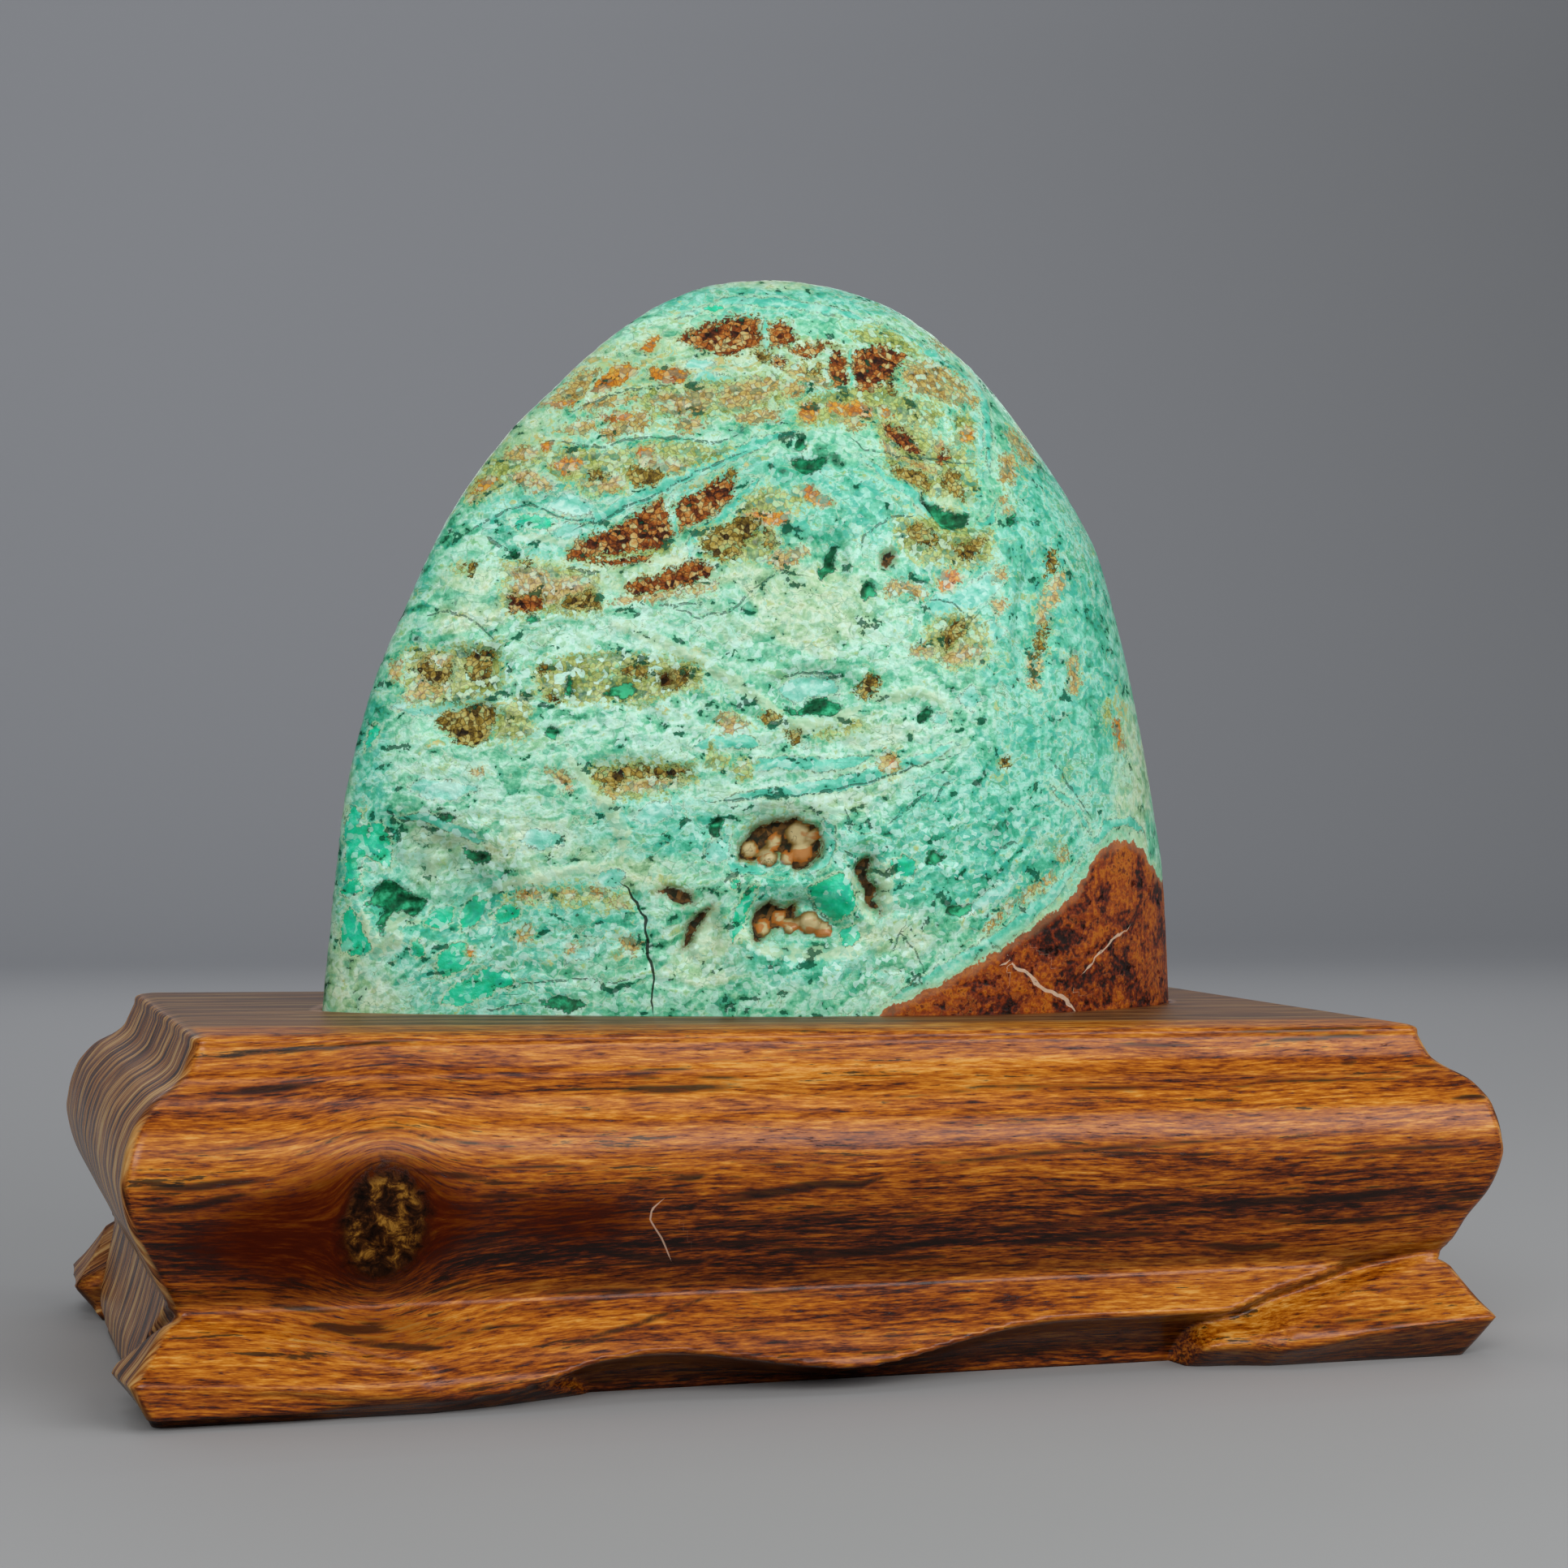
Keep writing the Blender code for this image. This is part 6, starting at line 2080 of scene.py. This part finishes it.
    # Painted light and shade at each height over the floor: lighter on the bands that face the
    # lamps, darker under the bulge and near the floor.
    light: SmoothLine = SmoothLine((
        (0.000, -0.120), (0.006, -0.040), (0.012, 0.020), (0.019, 0.020), (0.022, -0.020),
        (0.026, -0.110), (0.034, -0.140), (0.042, -0.110), (0.048, -0.020), (0.053, 0.030),
        (0.060, 0.080), (0.068, 0.060), (0.078, 0.050),
    ))
    pale_fibre: Stroke = Stroke((819, 1477, 803, 1490, 801, 1502, 815, 1525, 828, 1555), 1.3)
    halo: tuple[Zone, ...] = (
        Zone(435, 1515, 125, 78), Zone(700, 1500, 110, 44, 0.7), Zone(500, 1480, 90, 70, 0.5),
        Zone(290, 1530, 110, 56, 0.6), Zone(480, 1640, 130, 24, 0.5),
    )


@dataclass
class CarvedStand:
    """The stand: one block of lacquered wood, carved by hand."""

    form: StandForm
    stone: StoneForm
    marks: WoodMarks
    view: PhotoView
    name: str = "carved_stand"
    node: str = "wooden_stand"
    inner_rings: int = 12
    unevenness: float = 0.00022
    knot_sink: float = 0.0006
    knot_reach: float = 6.0

    def seat_ring(self, rim: Points) -> Points:
        """The seat's edge, as a ring that can be joined to the top's rim.

        Args:
            rim: the rim's points, one row each.

        Returns:
            As many points on the seat's edge, each at its rim point's angle from the middle.
        """
        foot = self.stone.to_world(self.stone.section(0.0))[:, :2]
        ahead = np.roll(foot, -1, axis=0) - np.roll(foot, 1, axis=0)
        outward = np.column_stack([ahead[:, 1], -ahead[:, 0]]) / np.hypot(*ahead.T)[:, None]
        wall = foot + self.form.top.gap * outward
        middle = wall.mean(axis=0)
        turn = np.unwrap(np.arctan2(*(wall - middle).T[::-1]))
        goal = np.unwrap(np.arctan2(*(rim[:, :2] - middle).T[::-1]))
        order = np.argsort(turn % (2 * math.pi))
        around = (turn % (2 * math.pi))[order]
        around = np.concatenate([around - 2 * math.pi, around, around + 2 * math.pi])
        spots = [np.tile(wall[order, k], 3) for k in (0, 1)]
        return np.column_stack([np.interp(goal % (2 * math.pi), around, s) for s in spots])

    def block(self) -> bpy.types.Mesh:
        """Builds the carved block.

        Returns:
            Its mesh: the sides, the top and the seat.
        """
        form = self.form
        rings = form.rings()
        rim = rings[-1]
        seat = self.seat_ring(rim)
        for step in np.linspace(0, 1, self.inner_rings)[1:]:
            flat = rim[:, :2] + (seat - rim[:, :2]) * step
            rings.append(np.column_stack([flat, form.top.at(flat[:, 0])]))
        floor = rings[-1].copy()
        floor[:, 2] -= form.top.seat_depth + form.top.gap
        rings.append(floor)
        return loft(self.name, rings)

    def from_knot(self, points: Points) -> Points:
        """How far each point is from the knot's middle; one is its edge."""
        offset = points[:, [0, 2]] - np.array(self.marks.knot)
        return np.hypot(*(offset / np.array(self.marks.knot_size)).T)

    def grain(self, points: Points, at_front: Points) -> Points:
        """Where each point lies in the wood, whose grain parts round the knot.

        Args:
            points: places in the stand's frame, one row each.
            at_front: how much each belongs to the front.

        Returns:
            Its place along the grain, back through the layers and up across them.
        """
        round_knot, knot_z = self.from_knot(points), self.marks.knot[1]
        parting = np.where(round_knot > 1, 1 - 1 / np.maximum(round_knot, 1) ** 2, 0.0)
        parted = knot_z + (points[:, 2] - knot_z) * parting
        up = points[:, 2] + at_front * (parted - points[:, 2])
        up += 0.0016 * waves(points * np.array([1, 0.6, 0.6]), 0.060, 1, 4.0)
        up += 0.0005 * waves(points * np.array([1, 2, 2]), 0.022, 1, 6.0)
        bend = 0.0050 * waves(points * np.array([0.5, 1, 1]), 0.075, 1, 1.0)
        return np.column_stack([points[:, 0], points[:, 1] + bend, up])

    def read_faces(self, points: Points, normals: Points) -> dict[str, Points]:
        """Which faces of the block the points are on, the painted light and shade at each height,
        and the painted shade on its low faces that look down.

        Args:
            points: places in the stand's frame, one row each.
            normals: the surface's directions there.

        Returns:
            One value for each point under the name of each kind of face.
        """
        level = np.hypot(normals[:, 0], normals[:, 1])
        endwise = np.abs(normals[:, 0]) / np.maximum(level, 1e-6)
        endwise *= smooth_step(0.110, 0.122, np.abs(points[:, 0]))
        low = smooth_step(0.028, 0.020, points[:, 2])
        return {
            "end_face": smooth_step(0.45, 0.80, endwise) * smooth_step(0.1, 0.3, level),
            "top_face": smooth_step(0.90, 0.985, normals[:, 2]),
            # Painted shade on the low faces that look down, under the skirt's lip.
            "low_face_shade": low * smooth_step(-0.10, -0.50, normals[:, 2]),
            "light": self.marks.light(points[:, 2]),
        }

    def read_marks(self, points: Points, normals: Points) -> dict[str, Points]:
        """Where the points lie by the photograph's streaks, its pale fibre and its halo.

        Args:
            points: places in the stand's frame, one row each.
            normals: the surface's directions there.

        Returns:
            One value for each point under the name of each kind of mark.
        """
        front = (self.view.facing(points, normals) > 0) & (normals[:, 1] < -0.05)
        places = self.view.pixels(points)
        places[:, 1] += 2.0 * waves(points, 0.010, 2, 3.0)
        measure = self.marks.pixel / MM
        dark = np.clip(deepest(self.marks.streaks, places) * measure, -FAR_MM, FAR_MM)
        fibre = thin_lines([self.marks.pale_fibre], places) * measure
        halo = sum(zone.weight(places) for zone in self.marks.halo)
        return {
            "dark_streak": np.where(front, dark, -FAR_MM),
            "pale_fibre": fibre[:, 0],
            "pale_fibre_half": np.where(front, fibre[:, 1], -1.0),
            "halo": np.where(front, halo, 0.0),
        }

    def build(self) -> bpy.types.Object:
        """Builds the block, makes it a little uneven and marks its grain.

        Returns:
            The piece.
        """
        mesh = self.block()
        points, normals = points_and_normals(mesh)
        side = 1.0 - smooth_step(0.7, 0.95, np.abs(normals[:, 2]))
        side *= smooth_step(0.0, 0.002, points[:, 2])
        long_ways = points * np.array([0.35, 1.0, 1.0])
        uneven = waves(long_ways, 0.016, 2, 2.0) * self.unevenness * side
        round_knot = self.from_knot(points)
        at_front = smooth_step(-0.020, -0.050, points[:, 1])
        uneven -= self.knot_sink * at_front * (1 - smooth_step(0.5, 1.1, round_knot))
        move_points(mesh, points + normals * uneven[:, None])
        keep(mesh, "grain", self.grain(points, at_front))
        away = np.where(at_front > 0.5, np.minimum(round_knot, self.knot_reach), self.knot_reach)
        keep(mesh, "knot", away)
        told = self.read_faces(points, normals) | self.read_marks(points, normals)
        for name, values in told.items():
            keep(mesh, name, values)
        mesh.materials.append(LacqueredRosewood().build())
        return show(self.name, mesh, self.node)


@dataclass(frozen=True)
class LacqueredRosewood:
    """Rosewood, carved, sanded and lacquered: dark figure under an even, fairly deep gloss."""

    ior: float = 1.46
    face: Stops = (
        (0.16, "#120400"), (0.27, "#3C1200"), (0.37, "#6C2C00"), (0.47, "#904703"),
        (0.57, "#AB5F0A"), (0.69, "#C27A1E"), (0.84, "#D2994A"),
    )
    end_grain: Stops = (
        (0.12, "#140601"), (0.28, "#3C1B09"), (0.40, "#6C3A18"), (0.52, "#9A602E"),
        (0.66, "#BE8C4E"), (0.84, "#D2A96A"),
    )

    crumbled: Stops = (
        (0.34, "#080301"), (0.45, "#210E04"), (0.53, "#42230A"), (0.60, "#7A5018"),
        (0.66, "#A2742C"), (0.74, "#2C1406"),
    )
    layer_gap: float = 0.0110

    def end_wood(self, r: Recipe, told: dict[str, Socket], grain: Socket,
                 broad: Socket) -> tuple[Socket, Socket]:
        """The ends and the top, where the growth layers stand upright 11 mm apart.

        Args:
            r: the material's recipe.
            told: what the mesh tells at each point, by name.
            grain: the place in the wood.
            broad: a pattern 14 mm wide.

        Returns:
            Their colour, and the share that it takes.
        """
        split = r.add("SeparateXYZ", grain, out="Y")
        up = r.add("SeparateXYZ", grain, out="Z")
        layer = r.add("Math", up, 0.16, split, operation="MULTIPLY_ADD")
        bent = r.mottle(grain, 0.024, 2.0, 0.5, (3.0, 1.0, 1.3))
        turns = r.add("Math", layer, 2 * math.pi / self.layer_gap, operation="MULTIPLY")
        turns = r.add("Math", bent, 9.0, turns, operation="MULTIPLY_ADD")
        rings = r.add("Math", r.add("Math", turns, operation="SINE"), 0.5, 0.5,
                      operation="MULTIPLY_ADD")
        sheets = r.mottle(grain, 0.0034, 3.0, 0.6, (16.0, 1.0, 7.0))
        threads = r.mottle(grain, 0.0012, 3.0, 0.65, (20.0, 1.0, 12.0))
        tone = r.about_half((rings, 0.20), (sheets, 1.35), (threads, 1.4), (broad, 0.3))
        colour = r.add("ValToRGB", tone, stops=self.end_grain)
        colour = r.lay(colour, "#1C0E08", r.step(tone, 0.36, 0.26), 0.6)
        # A flat grey-brown over the top: a painted reflection, in place of the grazing sheen that
        # its dull lacquer no longer gives.
        colour = r.lay(colour, "#553924", told["top_face"], 0.65)
        on_end = r.add("Math", told["end_face"], 0.96, operation="MULTIPLY")
        behind_rim = r.step(split, -0.056, -0.043)
        on_top = r.add("Math", told["top_face"], behind_rim, operation="MULTIPLY")
        return colour, r.add("Math", on_end, on_top, operation="MAXIMUM")

    def build(self) -> bpy.types.Material:
        """Builds the material: growth layers, fibres, the knot, then the lacquer.

        Returns:
            The material.
        """
        material, r, shader = new_finish("lacquered_rosewood")
        grain = r.add("Attribute", out="Vector", attribute_name="grain")
        told = {name: r.add("Attribute", out="Fac", attribute_name=name) for name in (
            "end_face", "top_face", "dark_streak", "knot", "pale_fibre", "pale_fibre_half",
            "light", "low_face_shade", "halo")}
        # Figure 14 mm wide, bands 2.6 mm, fibres 0.7 mm and splinters 0.5 mm, drawn out along
        # x. Real fibres are finer: these are as fine as the render can show.
        broad = r.mottle(grain, 0.0140, 3.0, 0.5, (7.0, 1.0, 1.0))
        bands = r.mottle(grain, 0.0026, 3.0, 0.55, (16.0, 2.0, 1.0))
        fibres = r.mottle(grain, 0.0007, 3.0, 0.65, (14.0, 2.0, 1.0))
        splinters = r.mottle(grain, 0.0005, 3.0, 0.7, (9.0, 2.0, 1.0))
        tone = r.about_half((broad, 0.50), (bands, 0.58), (fibres, 0.74), (splinters, 0.95))
        # Painted light and shade by height over the floor.
        tone = r.add("Math", tone, told["light"], operation="ADD")
        colour = r.add("ValToRGB", tone, stops=self.face)

        end_colour, end_share = self.end_wood(r, told, grain, broad)

        # Dark figure: clusters of thin streaks, crowded where the painted light by height is
        # lowest.
        figure = r.mottle(grain, 0.0017, 4.0, 0.62, (20.0, 2.0, 1.0))
        figure = r.about_half((figure, 1.0), (splinters, 0.45), (bands, 0.35))
        figure = r.add("Math", told["light"], -0.30, figure, operation="MULTIPLY_ADD")
        colour = r.lay(colour, "#1A0800", r.step(figure, 0.62, 0.69), 0.88)
        pore = r.step(splinters, 0.37, 0.30)
        colour = r.lay(colour, "#220A01", pore, 0.60)
        ragged = r.about_half((fibres, 1.5), (splinters, 1.3))
        ragged = r.add("Math", ragged, 0.5, operation="SUBTRACT")
        dark = r.add("Math", ragged, told["dark_streak"], operation="ADD")
        colour = r.lay(colour, "#110400", r.step(dark, -0.30, 0.45), 0.88)

        shade = r.add("Math", ragged, 0.5, told["halo"], operation="MULTIPLY_ADD")
        shade = r.step(shade, 0.15, 0.95)
        colour = r.lay(colour, "#420F00", shade, 0.80)
        place = r.add("TexCoord", out="Object")
        crumble = r.mottle(place, 0.0030, 5.0, 0.7, twist=0.5)
        around = r.add("Math", crumble, 0.9, told["knot"], operation="MULTIPLY_ADD")
        colour = r.lay(colour, "#2A0B02", r.step(around, 1.80, 1.50), 0.70)
        core = r.step(around, 1.56, 1.32)
        colour = r.lay(colour, r.add("ValToRGB", crumble, stops=self.crumbled), core)
        colour = r.lay(colour, end_colour, end_share)
        # Painted shade on the low faces that look down, under the skirt's lip.
        colour = r.lay(colour, "#1C0A03", told["low_face_shade"], 0.65)
        fibre = r.line(told["pale_fibre"], told["pale_fibre_half"], fibres)
        colour = r.lay(colour, "#C9A58C", fibre, 0.8)

        height = r.add("Math", fibres, 0.04, operation="MULTIPLY")
        height = r.add("Math", pore, -0.04, height, operation="MULTIPLY_ADD")
        on_face = r.add("Math", 1.0, end_share, operation="SUBTRACT")
        crumbs = r.add("Math", r.add("Math", core, crumble, operation="MULTIPLY"), on_face,
                       operation="MULTIPLY")
        height = r.add("Math", crumbs, 0.7, height, operation="MULTIPLY_ADD")
        rough = r.add("MapRange", core, 0.0, 1.0, 0.27, 0.55)
        rough = r.add("Math", told["top_face"], 0.15, rough, operation="MULTIPLY_ADD")
        r.finish(colour, rough, height, 0.6)
        # The ends, the open-pored top and the knot have drunk the lacquer and shine less.
        dull = r.add("Math", told["end_face"], told["top_face"], operation="MAXIMUM")
        dull = r.add("Math", dull, r.add("Math", shade, core, operation="MAXIMUM"),
                     operation="MAXIMUM")
        shine = r.add("MapRange", dull, 0.0, 1.0, 0.34, 0.06)
        r.tree.links.new(shine, shader.inputs["Specular IOR Level"])
        shader.inputs["IOR"].default_value = self.ior
        return material


@dataclass(frozen=True)
class SoftBox:
    """One soft studio lamp."""

    name: str
    place: tuple[float, float, float]
    aim: tuple[float, float, float]
    size: tuple[float, float]
    watts: float
    colour: str = "#FFFFFF"

    def build(self) -> bpy.types.Object:
        """Adds the lamp, turned to what it lights.

        Returns:
            The lamp.
        """
        data = bpy.data.lights.new(self.name, "AREA")
        data.shape = "RECTANGLE"
        data.size, data.size_y = self.size
        data.energy = self.watts
        data.color = linear(self.colour)[:3]
        lamp = bpy.data.objects.new(self.name, data)
        lamp.location = self.place
        aim = Vector(self.aim) - Vector(self.place)
        lamp.rotation_euler = aim.to_track_quat("-Z", "Y").to_euler()
        bpy.context.scene.collection.objects.link(lamp)
        return lamp


@dataclass(frozen=True)
class Studio:
    """A plain pale floor that sweeps up behind, under soft light."""

    half_width: float = 3.0
    near: float = -2.4
    far: float = 1.6
    sweep: float = 0.9
    sweep_steps: int = 12
    tall: float = 2.6
    floor_colour: str = "#A6A6A6"
    floor_rough: float = 0.75
    air: str = "#DDE1E6"
    air_strength: float = 0.25
    boxes: tuple[SoftBox, ...] = (
        SoftBox("overhead_strip", (-0.05, -0.05, 1.00), (0.0, 0.0, 0.05), (1.2, 0.14), 1.6),
        SoftBox("front_box", (-0.60, -1.25, 0.75), (0.0, 0.0, 0.12), (0.8, 0.6), 10.0),
        SoftBox("window_box", (0.66, -1.15, 0.68), (0.0, 0.0, 0.08), (1.2, 0.50), 9.2),
        SoftBox("right_box", (1.2, -0.3, 0.60), (0.0, 0.0, 0.10), (0.6, 0.8), 1.6),
        SoftBox("back_box", (0.2, 1.2, 0.62), (0.0, 0.0, 0.08), (1.4, 0.25), 1.8),
        SoftBox("wall_box", (0.0, 1.1, 2.0), (0.0, 2.5, 0.9), (2.4, 0.4), 14.0,
                "#EAF0FF"),
    )

    def build(self) -> None:
        """Adds the floor, the lamps and the even light around."""
        profile = [(self.near, 0.0), (self.far, 0.0)]
        for step in range(1, self.sweep_steps + 1):
            turn = step / self.sweep_steps * math.pi / 2
            profile.append((self.far + self.sweep * math.sin(turn),
                            self.sweep * (1 - math.cos(turn))))
        profile.append((self.far + self.sweep, self.tall))
        points = [(side * self.half_width, y, z) for y, z in profile for side in (-1, 1)]
        faces = [(2 * k, 2 * k + 1, 2 * k + 3, 2 * k + 2) for k in range(len(profile) - 1)]
        mesh = bpy.data.meshes.new("studio_floor")
        mesh.from_pydata(points, [], faces)
        mesh.shade_smooth()
        floor = bpy.data.objects.new("studio_floor", mesh)
        bpy.context.scene.collection.objects.link(floor)
        # Matt paper, calendered: an even grey without glints.
        material, _, shader = new_finish("matt_paper")
        shader.inputs["Base Color"].default_value = linear(self.floor_colour)
        shader.inputs["Roughness"].default_value = self.floor_rough
        mesh.materials.append(material)
        for box in self.boxes:
            box.build()
        world = bpy.data.worlds.new("studio_air")
        world.use_nodes = True
        background = world.node_tree.nodes["Background"]
        background.inputs["Color"].default_value = linear(self.air)
        background.inputs["Strength"].default_value = self.air_strength
        bpy.context.scene.world = world
        bpy.context.scene.view_settings.view_transform = "Standard"


def corners(box: Sequence[Vector]) -> list[list[float]]:
    """A box's two corners as plain lists."""
    return [[float(value) for value in corner] for corner in box]


def main() -> None:
    """Builds the stone, the stand and the studio; each piece logs its points and faces."""
    logging.basicConfig(level=logging.INFO, format="%(name)s: %(message)s")
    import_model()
    view = PhotoView()
    view.build()
    Studio().build()
    stone_form = StoneForm()
    SmithsoniteDome(stone_form, StoneMarks(), Flow(), view).build()
    CarvedStand(StandForm(), stone_form, WoodMarks(), view).build()


if __name__ == "__main__":
    main()
